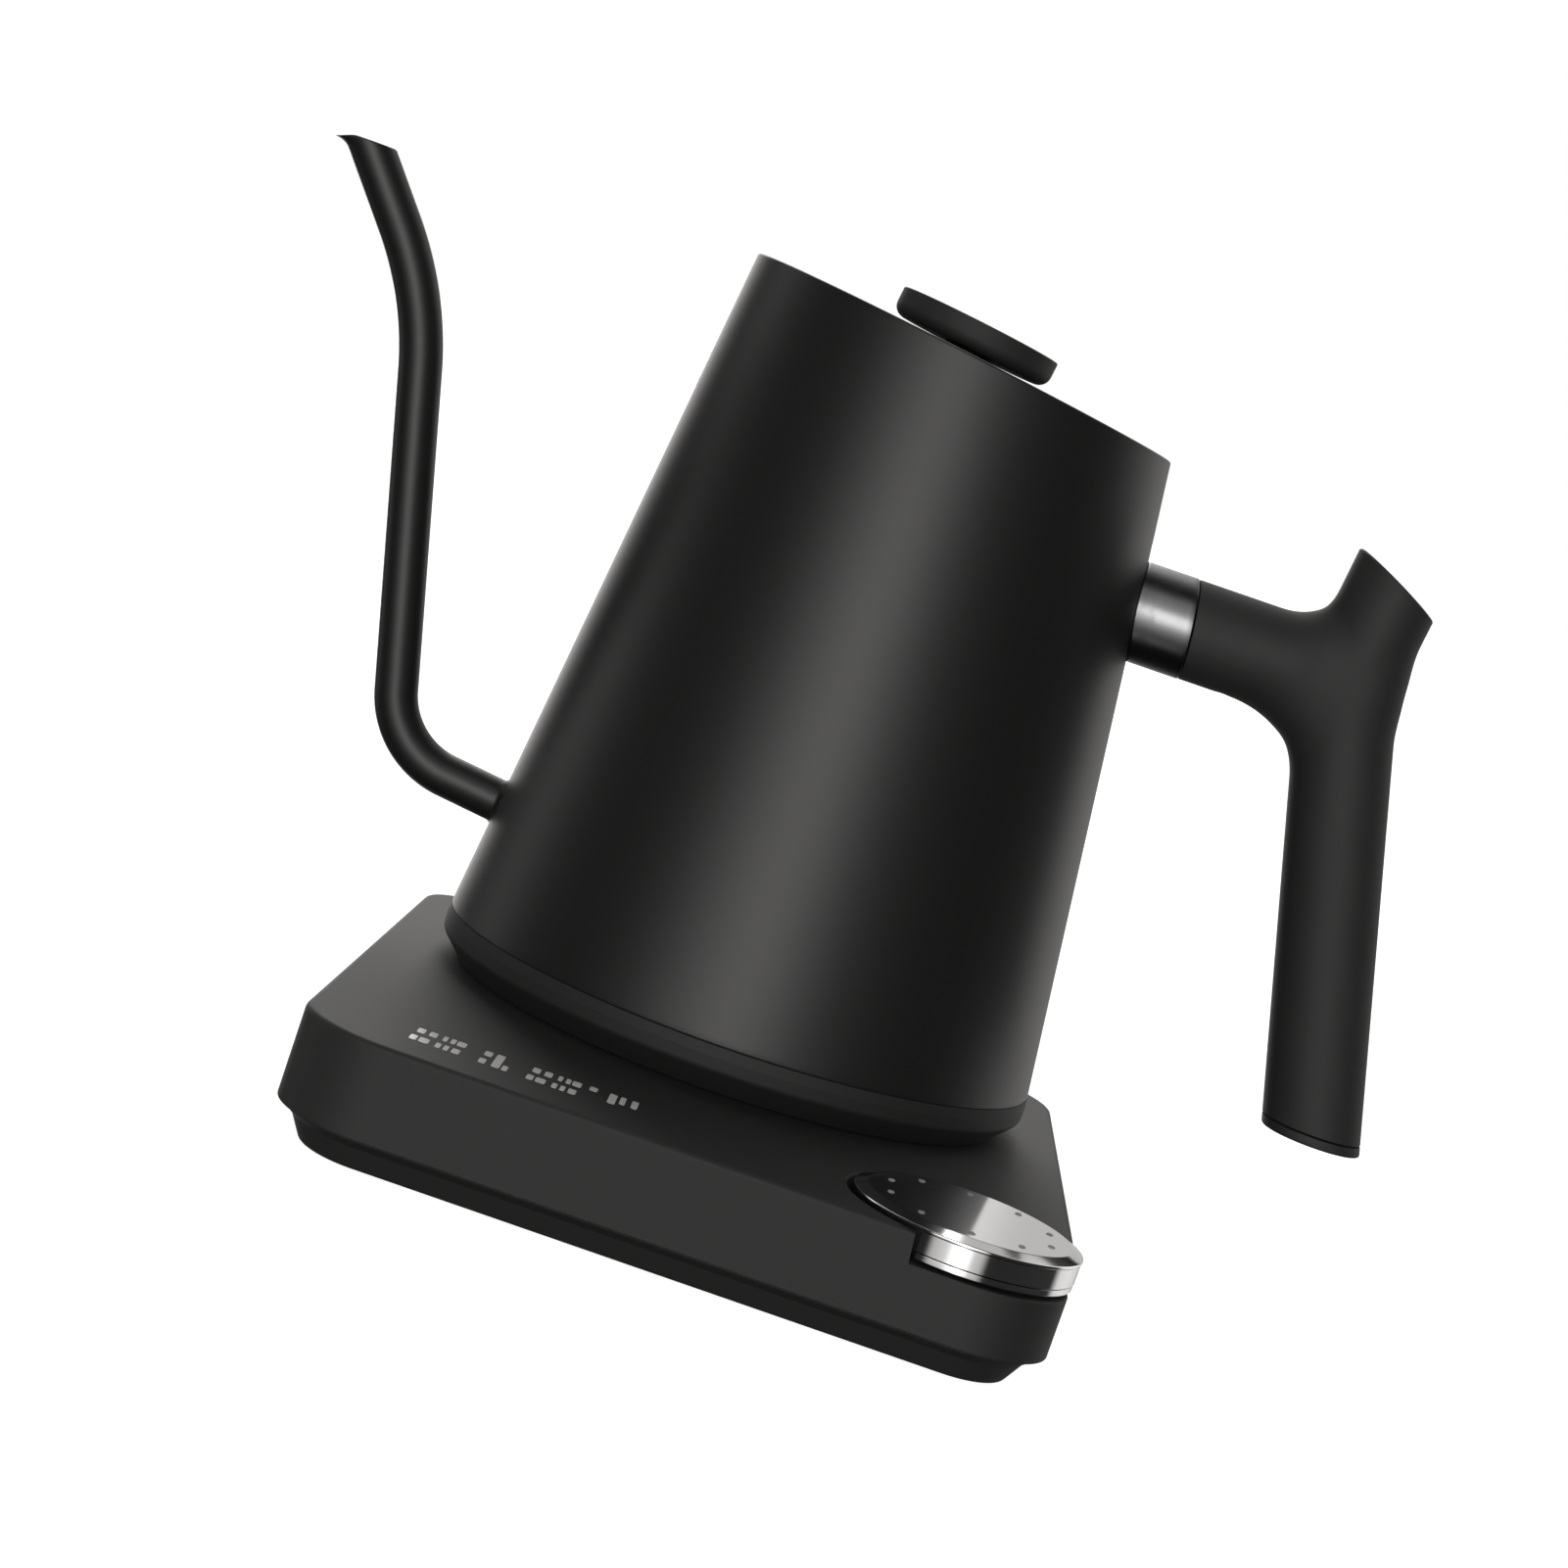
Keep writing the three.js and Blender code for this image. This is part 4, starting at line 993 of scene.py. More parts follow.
@dataclass
class Casing:
    """The two plastic covers of the base, its feet, its gland and its printed marks.

    Attributes:
        corner: corner radius in plan.
        edge: rounding of the top edge.
        wall: thickness of the covers.
        step: step in from the side at the joint.
        chamfer: width of the slope under the joint.
        chamfer_height: its height.
        tuck: width of the steeper slope from there to the underside.
        split: height of the joint between the covers.
        seam: gap that shows at the joint.
        gap: between neighbouring pieces.
        pocket_clearance: dial to the wall of its recess.
        pocket_drop: depth of that recess.
        plug: radius of the connector.
        hole_clearance: connector to its hole.
        mark_height: how far the marks stand on the top face.
    """

    corner: float = 19.0
    edge: float = 1.2
    wall: float = 2.2
    step: float = 1.0
    chamfer: float = 2.5
    chamfer_height: float = 1.9
    tuck: float = 2.9
    split: float = 7.2
    seam: float = 0.12
    gap: float = 0.3
    pocket_clearance: float = 1.2
    pocket_drop: float = 6.2
    plug: float = 16.0
    hole_clearance: float = 0.7
    mark_height: float = 0.06

    def __post_init__(self) -> None:
        """Reads the covers' extent and the dial's place from the frame."""
        self.low, self.high = span("base_top_cover")
        self.top = float(self.high[2])
        self.dial = middle("dial_cap")[:2]
        self.pocket_radius = girth("dial_cap") + self.pocket_clearance
        self.pocket_floor = self.top - self.pocket_drop
        self.under = float(span("base_bottom_cover")[0][2])

    def outline(self, inset: float = 0.0, steps: int = 24) -> Array:
        """The covers' outline in plan, drawn in by a length.

        Each corner is an arc of the corner radius less the inset, about the same centre.

        Args:
            inset: distance inwards.
            steps: segments of a corner.

        Returns:
            Points counter-clockwise, n by 2.
        """
        radius = self.corner - inset
        turn = np.linspace(0, math.pi / 2, steps + 1)
        x0, x1 = self.low[0] + self.corner, self.high[0] - self.corner
        y0, y1 = self.low[1] + self.corner, self.high[1] - self.corner
        centres = ((x1, y1), (x0, y1), (x0, y0), (x1, y0))
        return np.vstack([
            np.array(centre) + radius * np.column_stack((np.cos(turn + start), np.sin(turn + start)))
            for centre, start in zip(centres, np.arange(4) * math.pi / 2)
        ])

    def top_cover(self) -> None:
        """A shell with the dial's recess and the connector's hole, all its edges rounded."""
        joint = self.split + self.seam
        solid = prism(self.outline(), self.outline(), joint, self.top).thing("base_top")
        ceiling = self.top - self.wall
        inside = self.outline(self.wall)
        cavity = prism(inside, inside, joint - 2, ceiling).thing("cavity")
        shell = self.pocket_radius + self.wall
        carved(cavity, [rod(shell, self.pocket_floor - self.wall, ceiling + 1, *self.dial)])
        step = solid.modifiers.new("hollow", "BOOLEAN")
        step.operation, step.solver, step.object = "DIFFERENCE", "EXACT", cavity
        baked(solid)
        bpy.data.objects.remove(cavity)
        hole = self.hole_clearance + self.plug
        carved(solid, [
            rod(self.pocket_radius, self.pocket_floor, self.top + 5, *self.dial, steps=160),
            rod(hole, ceiling - 2, self.top + 5, *middle("base_connector")[:2]),
        ])
        softened(solid, self.edge, self.edge_shares)
        piece(solid, "base", CASING, ["base_top_cover"], crease=40)

    def edge_shares(self, middles: Array, angles: Array) -> Array:
        """How much of the full rounding each edge of the top cover gets.

        The outer top edge is rounded in full, the recess's and the hole's rims less, the upright
        corners of the recess by two thirds, and the joint by a sixth. Inside edges stay sharp.

        Args:
            middles: middles of the edges, n by 3.
            angles: angles between their faces.

        Returns:
            The shares, n.
        """
        x, y, z = middles.T
        sharp = angles > math.radians(40)
        from_dial = np.hypot(x - self.dial[0], y - self.dial[1])
        on_top = np.abs(z - self.top) < 0.01
        by_recess = from_dial < self.pocket_radius + 0.05
        by_hole = np.hypot(x, y) < 20
        outer = (
            (np.abs(x - self.low[0]) < 0.02) | (np.abs(x - self.high[0]) < 0.02)
            | (np.abs(y - self.low[1]) < 0.02) | (np.abs(y - self.high[1]) < 0.02)
        )
        shares = np.where(on_top, np.where(by_recess | by_hole, 0.45, 1.0), 0.0)
        upright = by_recess & (z > self.pocket_floor + 0.01) & (z < self.top - 0.01) & outer
        shares = np.where(upright, 0.65, shares)
        at_floor = by_recess & (np.abs(z - self.pocket_floor) < 0.01)
        shares = np.where(at_floor & (from_dial < self.pocket_radius - 0.3), 0.35, shares)
        joint = np.abs(z - self.split - self.seam) < 0.01
        return np.where(sharp & joint, 0.3, np.where(sharp, shares, 0.0))

    def bottom_cover(self) -> None:
        """The lower tray: stepped in at the joint, then sloping in to the flat underside.

        Its outline at each height is the covers' outline drawn in by the profile's inset there.
        """
        waist = self.step + self.chamfer
        foot = waist + self.tuck
        profile = rounded((
            (self.wall + 2.0, self.split, 0),
            (self.step, self.split, 0.2),
            (waist, self.split - self.chamfer_height, 0.6),
            (foot, self.under, 1.4),
            (foot + 3.0, self.under, 0),
        ), closed=False)
        insets, heights = profile.T
        rings = np.stack([
            np.column_stack((self.outline(inset), np.full(100, height)))
            for inset, height in zip(insets[::-1], heights[::-1])
        ])
        side = Surface.grid(rings)
        count = rings.shape[1]
        last = len(side.points) - count
        lids = [list(range(count))[::-1], list(range(last, last + count))]
        tray = Surface(side.points, side.faces + lids).thing("base_bottom")
        wells = []
        for number in range(1, 5):
            node = f"cover_screw_{number}"
            bore, top = girth(node) + self.gap, span(node)[0][2] + 2.2
            wells.append(rod(bore, self.under - 1, top, *middle(node)[:2], steps=48))
        piece(carved(tray, wells), "base", CASING, ["base_bottom_cover"])

    def feet(self) -> None:
        """Round rubber pads with a soft edge and a shallow ring, and the screws between them."""
        for number in range(1, 5):
            node = f"foot_{number}"
            low, high = span(node)
            radius = girth(node)
            base = float(low[2])
            profile = np.vstack(((0, base + 0.15), rounded((
                (radius - 2.6, base + 0.15, 0.1),
                (radius - 2.2, base, 0.1),
                (radius, base, 0.5),
                (radius, high[2], 0.2),
                (0, high[2], 0),
            ), closed=False)))
            profile[1] = (radius - 2.9, base + 0.15)
            pad = turned(profile, 64, closed=False).placed(shifted(*middle(node)[:2]))
            piece(pad.thing(node + "_pad"), "base", RUBBER, [node])
            Screw().build(f"cover_screw_{number}", "base")

    def gland(self) -> None:
        """The ring that the mains lead would pass through, a lathe shape laid along Y."""
        low, high = span("cord_gland")
        radius = girth("cord_gland")
        inner, outer = float(low[1]), float(high[1])
        wall_face = float(self.high[1])
        bore = radius / 2
        profile = rounded((
            (bore, inner, 0.2),
            (radius, inner, 0.3),
            (radius, wall_face - self.wall - self.gap, 0.1),
            (radius - 2, wall_face - self.wall - self.gap, 0.1),
            (radius - 2, wall_face + self.gap, 0.1),
            (radius - 0.4, wall_face + self.gap, 0.2),
            (radius - 0.8, outer, 0.6),
            (bore, outer, 0.5),
        ))
        centre = middle("cord_gland")
        ring = turned(profile, 72).placed(lambda p: np.column_stack((p[:, 0], p[:, 2], -p[:, 1])))
        place = ring.placed(shifted(centre[0], 0, centre[2]))
        piece(place.thing("gland_ring"), "base", RUBBER, ["cord_gland"])

    def marks(self) -> None:
        """Plain printed dashes at the front left of the top face, in groups of two rows, in a print whose
        glow is painted light.
        """
        rows = {
            -97.6: ((-56.6, 1.8), (-54.2, 1.8), (-51.8, 1.0), (-50.2, 1.1), (-48.5, 2.1)),
            -105.2: ((-57.1, 1.6), (-55.0, 2.3), (-52.2, 1.2), (-50.6, 1.1), (-48.7, 1.8)),
        }
        dashes = [(x, y, width, 4.2) for y, row in rows.items() for x, width in row]
        dashes += [(x + 23.2, y, width, 4.2) for x, y, width, _ in dashes]
        dashes += [(-43.1, -97.6, 1.8, 4.2), (-43.4, -105.2, 1.6, 4.2), (-38.9, -105.2, 1.3, 4.2)]
        dashes += [(-40.7, -101.2, 1.9, 12.0), (-22.0, -96.8, 1.8, 3.4)]
        dashes += [(-18.0, -99.6, 1.8, 8.6), (-16.0, -98.4, 1.3, 6.4), (-13.6, -98.4, 1.5, 6.4)]
        whole = None
        for x, y, width, length in dashes:
            stroke = 0.85 * width
            radius = min(stroke, length) * 0.35
            corners = [
                (x + 1.4 + stroke * i / 2, y + 1.6 + length * j / 2, radius)
                for i, j in ((1, -1), (1, 1), (-1, 1), (-1, -1))
            ]
            ring = rounded(corners, steps=4)
            mark = prism(ring, ring, self.top - 0.02, self.top + self.mark_height)
            whole = mark if whole is None else whole + mark
        # The dashes' glow is painted light that makes the print read brighter.
        piece(whole.thing("indicator_marks"), "base", GLOWING_PRINT)

    def build(self) -> None:
        """Makes the covers and what is fixed to them."""
        self.top_cover()
        self.bottom_cover()
        self.feet()
        self.gland()
        self.marks()


@dataclass
class PowerConnector:
    """The round plug on the base and the cup under the kettle.

    Attributes:
        radius: of the plug above the top face.
        well: radius of the hollow round the pin.
        gap: between neighbouring pieces.
        clearance: plug to cup.
        cup_wall: thickness of the cup.
    """

    radius: float = 16.0
    well: float = 4.4
    gap: float = 0.3
    clearance: float = 0.7
    cup_wall: float = 5.0

    def plug(self) -> None:
        """The plug, a lathe shape with three contact rings let into its top, and its pin."""
        low, high = span("base_connector")
        ceiling = float(span("base_top_cover")[1][2]) - 2.2
        pin_low, pin_high = span("connector_pin")
        pin = girth("connector_pin")
        top = float(high[2])
        trench = ((0, 0), (0, -0.5), (-0.9, -0.5), (-0.9, 0))
        groove = [(ring + r, top + z, 0.1) for ring in (13.2, 10.0, 6.8) for r, z in trench]
        profile = rounded((
            (pin + self.gap, low[2], 0.2),
            (self.radius + 4, low[2], 0.3),
            (self.radius + 4, ceiling - 3, 0.2),
            (self.radius + 7, ceiling - 3, 0.2),
            (self.radius + 7, ceiling - self.gap, 0.2),
            (self.radius, ceiling - self.gap, 0.3),
            (self.radius, top, 1.2),
            *groove,
            (self.well, top, 0.3),
            (self.well, top - 5.6, 0.3),
            (pin + self.gap, top - 5.6, 0.2),
        ), steps=5)
        piece(turned(profile, 128).thing("connector_plug"), "base", CASING, ["base_connector"])
        spike = np.vstack(((0, pin_low[2]), (pin - 0.2, pin_low[2]), rounded((
            (pin, pin_low[2], 0),
            (pin, pin_high[2] - 0.2, 1.2),
            (0, pin_high[2], 0),
        ), closed=False, steps=8)))
        piece(turned(spike, 48, closed=False).thing("connector_spike"), "base", BRASS, ["connector_pin"])

    def cup(self) -> None:
        """The kettle's half, a cup that opens downwards round a tube that enters the well."""
        low, high = span("kettle_coupler")
        bottom, top = float(low[2]), float(high[2])
        cup = self.radius + self.clearance
        inside = top - 1.4
        tube_foot = float(span("base_connector")[1][2]) - 5.0
        tube = self.well - 0.6
        profile = np.vstack((
            (0, inside),
            rounded((
                (2.5, inside, 0),
                (2.5, tube_foot, 0.25),
                (tube, tube_foot, 0.25),
                (tube, inside, 0.3),
                (cup, inside, 0.4),
                (cup, bottom, 0.4),
                (cup + self.cup_wall, bottom, 0.4),
                (cup + self.cup_wall, top, 0.4),
                (0, top, 0),
            ), closed=False),
        ))
        piece(turned(profile, 128, closed=False).thing("coupler_cup"), "coupler", HOUSING, ["kettle_coupler"])

    def build(self) -> None:
        """Makes both halves."""
        self.plug()
        self.cup()


@dataclass
class Dial:
    """The press-and-turn dial: a mirror plate that overhangs a plain round side.

    Attributes:
        bevel: width of the soft ring round the mirror face.
        drop: how far that ring falls.
        overhang: plate past the side.
        plate: thickness of the plate at its edge.
        dots: how many dots are on the face.
        dot_ring: radius of their circle.
        dot_radius: of each dot.
    """

    bevel: float = 2.6
    drop: float = 1.05
    overhang: float = 0.2
    plate: float = 1.55
    dots: int = 10
    dot_ring: float = 16.8
    dot_radius: float = 0.72

    def __post_init__(self) -> None:
        """Reads the dial's place from the frame."""
        self.low, self.high = span("dial_cap")
        self.centre = middle("dial_cap")[:2]
        self.radius = girth("dial_cap")
        self.top = float(self.high[2])
        self.move = shifted(*self.centre)

    def cap(self) -> None:
        """The plate and its side as one lathe shape: the face falls by a millimetre in
        the bevelled ring, the rim is round, and a cove joins the underside to the side."""
        side = self.radius - self.overhang
        bottom = float(self.low[2])
        profile = np.vstack(((0, self.top), rounded((
            (0, self.top, 0),
            (self.radius - self.bevel, self.top, 1.6),
            (self.radius, self.top - self.drop, 0.3),
            (self.radius, self.top - self.plate, 0.12),
            (side, self.top - self.plate - 0.15, 0.1),
            (side, bottom, 0.12),
            (side - 1.6, bottom, 0.2),
            (side - 1.6, bottom + 2.4, 0.2),
            (0, bottom + 2.4, 0),
        ), closed=False, steps=8)))
        shape = turned(profile[1:][::-1], 192, closed=False).placed(self.move)
        piece(shape.thing("dial_mirror"), "dial", CHROME, ["dial_cap"])

    def skirt(self) -> None:
        """The ring under the cap, with a thin shadow gap between them."""
        low, high = span("dial_skirt")
        side = self.radius - self.overhang
        profile = rounded((
            (side - 3.8, low[2], 0.1),
            (side - 0.1, low[2], 0.25),
            (side - 0.1, high[2] + 0.15, 0.1),
            (side - 3.8, high[2] + 0.15, 0.1),
        ))
        ring = turned(profile, 192).placed(self.move)
        piece(ring.thing("dial_ring"), "dial", CHROME, ["dial_skirt"])

    def spots(self) -> None:
        """Evenly spaced low domes that stand on the mirror face."""
        dome = np.array(((0.0, -0.02), (1.0, -0.02), (0.96, 0.08), (0.75, 0.2), (0.4, 0.28), (0.0, 0.3)))
        dome = dome * (self.dot_radius, 1.0) + (0.0, self.top)
        whole = None
        for number in range(self.dots):
            turn = 2 * math.pi * (number + 0.5) / self.dots
            spot = self.centre + self.dot_ring * np.array((math.cos(turn), math.sin(turn)))
            dot = turned(dome, 20, closed=False).placed(shifted(*spot))
            whole = dot if whole is None else whole + dot
        piece(whole.thing("dial_dots"), "dial", DIAL_PRINT)

    def build(self) -> None:
        """Makes the dial; its hub, shaft and encoder keep their CAD shapes."""
        self.cap()
        self.skirt()
        self.spots()
        dress_nodes(HOUSING, "dial_hub")
        dress_nodes(ALUMINIUM, "encoder_shaft")
        dress_nodes(STEEL, "encoder_body")


@dataclass
class Body:
    """The coated vessel, its spout, its floor and the plastic housing under it.

    Attributes:
        widest: radius where the housing meets the wall.
        widest_height: height of that turn.
        rim_radius: wall radius where the rim plane meets the axis.
        rim_height: of the rim plane on the axis.
        tilt: slope of the rim in degrees, down towards the handle.
        wall: thickness of the steel.
        contact: radius of the foot rim.
        rise: height of the slope from the foot rim up to the band.
        floor_rise: top of the floor above the seam.
        seam_gap: gap that shows between the wall and the housing.
        gap: between neighbouring pieces.
    """

    widest: float = 66.3
    widest_height: float = 34.0
    rim_radius: float = 48.75
    rim_height: float = 182.3
    tilt: float = 7.86
    wall: float = 1.0
    contact: float = 61.4
    rise: float = 5.0
    floor_rise: float = 5.8
    seam_gap: float = 0.1
    gap: float = 0.3

    def __post_init__(self) -> None:
        """Reads the heights that the frame fixes."""
        self.slope = (self.widest - self.rim_radius) / (self.rim_height - self.widest_height)
        self.lean = math.atan(self.slope)
        self.seam = float(span("vessel_shell")[0][2])
        self.stand = float(span("bottom_housing")[0][2])
        self.floor = self.seam + self.floor_rise

    def radius(self, height: Array | float) -> Array | float:
        """Radius of the wall's outside at a height: the widest radius less slope times rise."""
        return self.widest - self.slope * (height - self.widest_height)

    def rim(self, angle: Array) -> Array:
        """Height at which the slanted rim plane cuts the wall at each angle.

        The plane is z = rim height - x tan(tilt), and x is the wall radius at z times the cosine.

        Args:
            angle: radians about the axis.

        Returns:
            Heights.
        """
        across = math.tan(math.radians(self.tilt)) * np.cos(angle)
        foot = self.widest + self.slope * self.widest_height
        return (self.rim_height - foot * across) / (1 - self.slope * across)

    def shell(self) -> None:
        """The steel wall: at each angle the profile goes up the outside, over a half-round rim and
        down the inside. Heights are shares of the rise from the seam to the rim at that angle."""
        angle = round_angles(256)
        rise = np.concatenate(((0.0, 0.002), np.linspace(0.01, 1.0, 72)))
        turn = np.linspace(0, math.pi, 9)[:, None]
        half = self.wall / 2
        rim = self.rim(angle) - half
        outside_z = self.seam + rise[:, None] * (rim - self.seam)
        outside_r = self.radius(outside_z)
        crown_z = rim + half * np.sin(turn)
        crown_r = self.radius(rim) - half + half * np.cos(turn)
        inside_z = outside_z[::-1]
        inside_r = outside_r[::-1] - self.wall
        inside_r[-1] += 0.15
        outside_r[0] -= 0.15
        z = np.vstack((outside_z, crown_z[1:-1], inside_z))
        r = np.vstack((outside_r, crown_r[1:-1], inside_r))
        points = np.stack((r * np.cos(angle), r * np.sin(angle), z), axis=-1)
        painted = (np.arange(len(z)) >= len(outside_z) + 8).astype(int)
        shell = Surface.grid(points, closed=True, painted=painted).thing("vessel_wall")
        carved(shell, [self.bar_through_wall(5.05, -10, 10)])
        piece(shell, "kettle", COAT, ["vessel_shell"], second=STEEL)

    def bar_through_wall(self, radius: float, start: float, end: float) -> Surface:
        """A bar square to the wall at the spout's root."""
        spout = Spout(self)
        stock = rod(radius, start, end, steps=64)
        bar = stock.points
        along, up = spout.outward, np.array((-spout.outward[2], 0.0, spout.outward[0]))
        across = np.cross(along, up)
        placed = spout.root + bar[:, 2:] * along + bar[:, :1] * up + bar[:, 1:2] * across
        return Surface(placed, stock.faces)

    def housing(self) -> None:
        """The plastic band and the foot rim, a lathe shape with three screw wells. A slope with a
        soft upper edge joins the two."""
        upstand = float(self.radius(self.seam + 3)) - self.wall - 2 * self.gap
        cup = float(span("kettle_coupler")[1][0]) + self.gap
        plate = self.stand + 1
        joint = self.seam - self.seam_gap
        profile = rounded((
            (cup, plate, 0.2),
            (self.contact - 2.4, plate, 0.2),
            (self.contact - 2.2, self.stand, 0.3),
            (self.contact, self.stand, 0.5),
            (self.widest - 0.12, self.stand + self.rise, 1.6),
            (self.widest, self.widest_height, 0.4),
            (self.radius(joint) - 0.02, joint, 0.2),
            (upstand, joint, 0.1),
            (upstand, self.seam + 3, 0.2),
            (upstand - 1.4, self.seam + 3, 0.2),
            (upstand - 1.4, joint - 2, 0.2),
            (self.widest - 3.2, self.stand + self.rise, 1.0),
            (self.contact - 1.5, plate + 1.8, 0.4),
            (cup, plate + 1.8, 0.2),
        ), steps=7)
        band = turned(profile, 256).thing("housing_band")
        wells = []
        for number in range(1, 4):
            node = f"housing_screw_{number}"
            bore = girth(node) + self.gap
            wells.append(rod(bore, self.stand - 1, plate + 3, *middle(node)[:2], steps=48))
            Screw().build(node, "kettle")
        piece(carved(band, wells), "kettle", HOUSING, ["bottom_housing"])

    def pan(self) -> None:
        """The brushed floor inside the vessel, dished by a millimetre with a rolled edge."""
        low = float(span("vessel_floor")[0][2])
        edge = float(self.radius(self.floor)) - self.wall - self.gap
        profile = rounded((
            (5.5, self.floor - 1.2, 0.1),
            (edge - 2.0, self.floor - 1.2, 1.0),
            (edge - 1.0, low, 0.2),
            (edge, low, 0.2),
            (edge, self.floor, 1.6),
            (edge - 6.0, self.floor - 0.9, 5.0),
            (5.5, self.floor - 0.9, 0.1),
        ), steps=8)
        profile = np.vstack((profile, (0, self.floor - 0.9)))
        solid = np.vstack(((0, self.floor - 1.2), profile))
        pan = turned(solid, 192, closed=False).thing("vessel_pan")
        seat = rod(3.2, low - 6, self.floor + 3, *middle("probe_seal")[:2], steps=48)
        piece(carved(pan, [seat]), "kettle", STEEL, ["vessel_floor"])

    def probe(self) -> None:
        """The temperature probe with its round tip, and the silicone grommet it passes through."""
        low, high = span("temperature_probe")
        radius = girth("temperature_probe")
        stem = np.vstack(((0, low[2]), rounded((
            (radius, low[2], 0),
            (radius, high[2], radius * 0.95),
            (0, high[2], 0),
        ), closed=False, steps=10)))
        move = shifted(*middle("temperature_probe")[:2])
        rounded_rod = turned(stem, 48, closed=False).placed(move)
        piece(rounded_rod.thing("probe_stem"), "kettle", STEEL, ["temperature_probe"])
        seal_low, seal_high = span("probe_seal")
        lip = girth("probe_seal")
        bore = radius + self.gap
        grommet = rounded((
            (bore, seal_low[2], 0.1),
            (lip, seal_low[2], 0.3),
            (lip, seal_low[2] + 1.3, 0.2),
            (lip - 1.9, seal_low[2] + 1.3, 0.1),
            (lip - 1.9, seal_high[2] - 1.7, 0.1),
            (lip, seal_high[2] - 1.7, 0.3),
            (lip - 0.8, seal_high[2], 0.5),
            (bore, seal_high[2], 0.3),
        ), steps=5)
        seal = turned(grommet, 48).placed(move)
        piece(seal.thing("probe_grommet"), "kettle", SILICONE, ["probe_seal"])

    def build(self) -> None:
        """Makes the vessel; what is shut inside the housing keeps its CAD shape."""
        self.shell()
        self.housing()
        self.pan()
        self.probe()
        Spout(self).build()
        dress_nodes(ALUMINIUM, "heat_spreader")
        dress_nodes(STEEL, "heating_element")
        dress_nodes(WHITE, "thermostat")


@dataclass
class Spout:
    """The bent tube: square out of the wall, up along a lean, and out again at the neck.

    Attributes:
        body: the vessel it is fixed to.
        outer: radius of the tube.
        bore: radius of its bore.
        root_height: where its centreline leaves the wall.
        run: wall to the lower corner.
        riser_lean: lean of the long riser in degrees from upright.
        neck_drop: upper corner below the rim plane on the axis.
        tip_lean: lean of the tip in degrees from upright.
        lower_bend: centreline radius of the lower bend.
        upper_bend: centreline radius of the neck.
        fillet: size of the weld at the wall.
        lip: how far the pouring lip turns out past the tube's front edge.
        lip_drop: tip of the lip below the mouth.
        lip_rise: height over which it turns out.
    """

    body: Body
    outer: float = 4.75
    bore: float = 3.85
    root_height: float = 59.2
    run: float = 26.0
    riser_lean: float = 14.0
    neck_drop: float = 24.8
    tip_lean: float = 38.5
    lower_bend: float = 19.0
    upper_bend: float = 74.0
    fillet: float = 1.2
    lip: float = 1.45
    lip_drop: float = 1.3
    lip_rise: float = 3.0

    def __post_init__(self) -> None:
        """Finds the root of the tube on the wall."""
        self.outward = np.array((-math.cos(self.body.lean), 0.0, math.sin(self.body.lean)))
        self.root = np.array((-float(self.body.radius(self.root_height)), 0.0, self.root_height))
        self.mouth = float(span("spout")[1][2])

    def centreline(self) -> Array:
        """The rounded path in the kettle's plane, from just off the wall to the start of the tip.

        Returns:
            Points, n by 2, as (x, z).
        """
        out = self.outward[[0, 2]]
        root = self.root[[0, 2]]
        low = root + self.run * out
        rise = self.body.rim_height - self.neck_drop - low[1]
        neck = low + rise * np.array((-math.tan(math.radians(self.riser_lean)), 1.0))
        tip = math.radians(self.tip_lean)
        end = neck + 60.0 * np.array((-math.sin(tip), math.cos(tip)))
        start = root + 1.6 * out
        corners = (
            (*start, 0),
            (*low, self.lower_bend),
            (*neck, self.upper_bend),
            (*end, 0),
        )
        return rounded(corners, closed=False, steps=40)[:-1]

    def surface(self, steps: int = 64) -> Surface:
        """The whole tube as one closed grid.

        A ring at centre c with direction d and radius p has points c + p (a cos t + b sin t), where a
        lies in the kettle's plane and b = d x a. The mouth's rings slide along the tip until they
        meet the level plane, and the weld's rings follow a curve from the wall to the tube.

        Args:
            steps: columns round the tube.

        Returns:
            The surface.
        """
        path = self.centreline()
        centres = np.column_stack((path[:, 0], np.zeros(len(path)), path[:, 1]))
        heading = unit(np.gradient(centres, axis=0))
        tip = math.radians(self.tip_lean)
        heading[0] = self.outward
        heading[-1] = (-math.sin(tip), 0.0, math.cos(tip))
        turn = round_angles(steps)[:, None]

        def ring(centre: Array, along: Array, radius: float) -> Array:
            """One ring of the tube."""
            inside = np.array((along[2], 0.0, -along[0]))
            return centre + radius * (inside * np.cos(turn) + np.cross(along, inside) * np.sin(turn))

        def at_wall(radius: float, lift: float) -> Array:
            """A ring slid along the root's direction until it lies on the wall, then lifted."""
            points = ring(self.root, self.outward, radius)
            for _ in range(4):
                over = np.hypot(points[:, 0], points[:, 1]) - self.body.radius(points[:, 2])
                points = points - (over * math.cos(self.body.lean))[:, None] * self.outward
            return points + lift * self.outward

        def at_mouth(radius: float, height: float) -> Array:
            """A ring slid along the tip until it lies at a height."""
            points = ring(centres[-1], heading[-1], radius)
            return points + ((height - points[:, 2]) / heading[-1][2])[:, None] * heading[-1]

        def weld(share: float) -> Array:
            """A point of the quadratic curve wall, corner, tube at a share from 0 to 1."""
            wall, corner = at_wall(self.outer + self.fillet, -0.06), at_wall(self.outer, 0.0)
            tube = at_wall(self.outer, self.fillet)
            return (1 - share) ** 2 * wall + 2 * share * (1 - share) * corner + share**2 * tube

        def towards_mouth(radius: float) -> list[Array]:
            """Rings between the last bend and the mouth, closer together near the mouth."""
            first, last = ring(centres[-1], heading[-1], radius), at_mouth(radius, self.mouth - 0.32)
            shares = (0.3, 0.55, 0.7, 0.78, 0.83, 0.87, 0.905, 0.935, 0.96, 0.98)
            return [first + share * (last - first) for share in shares]

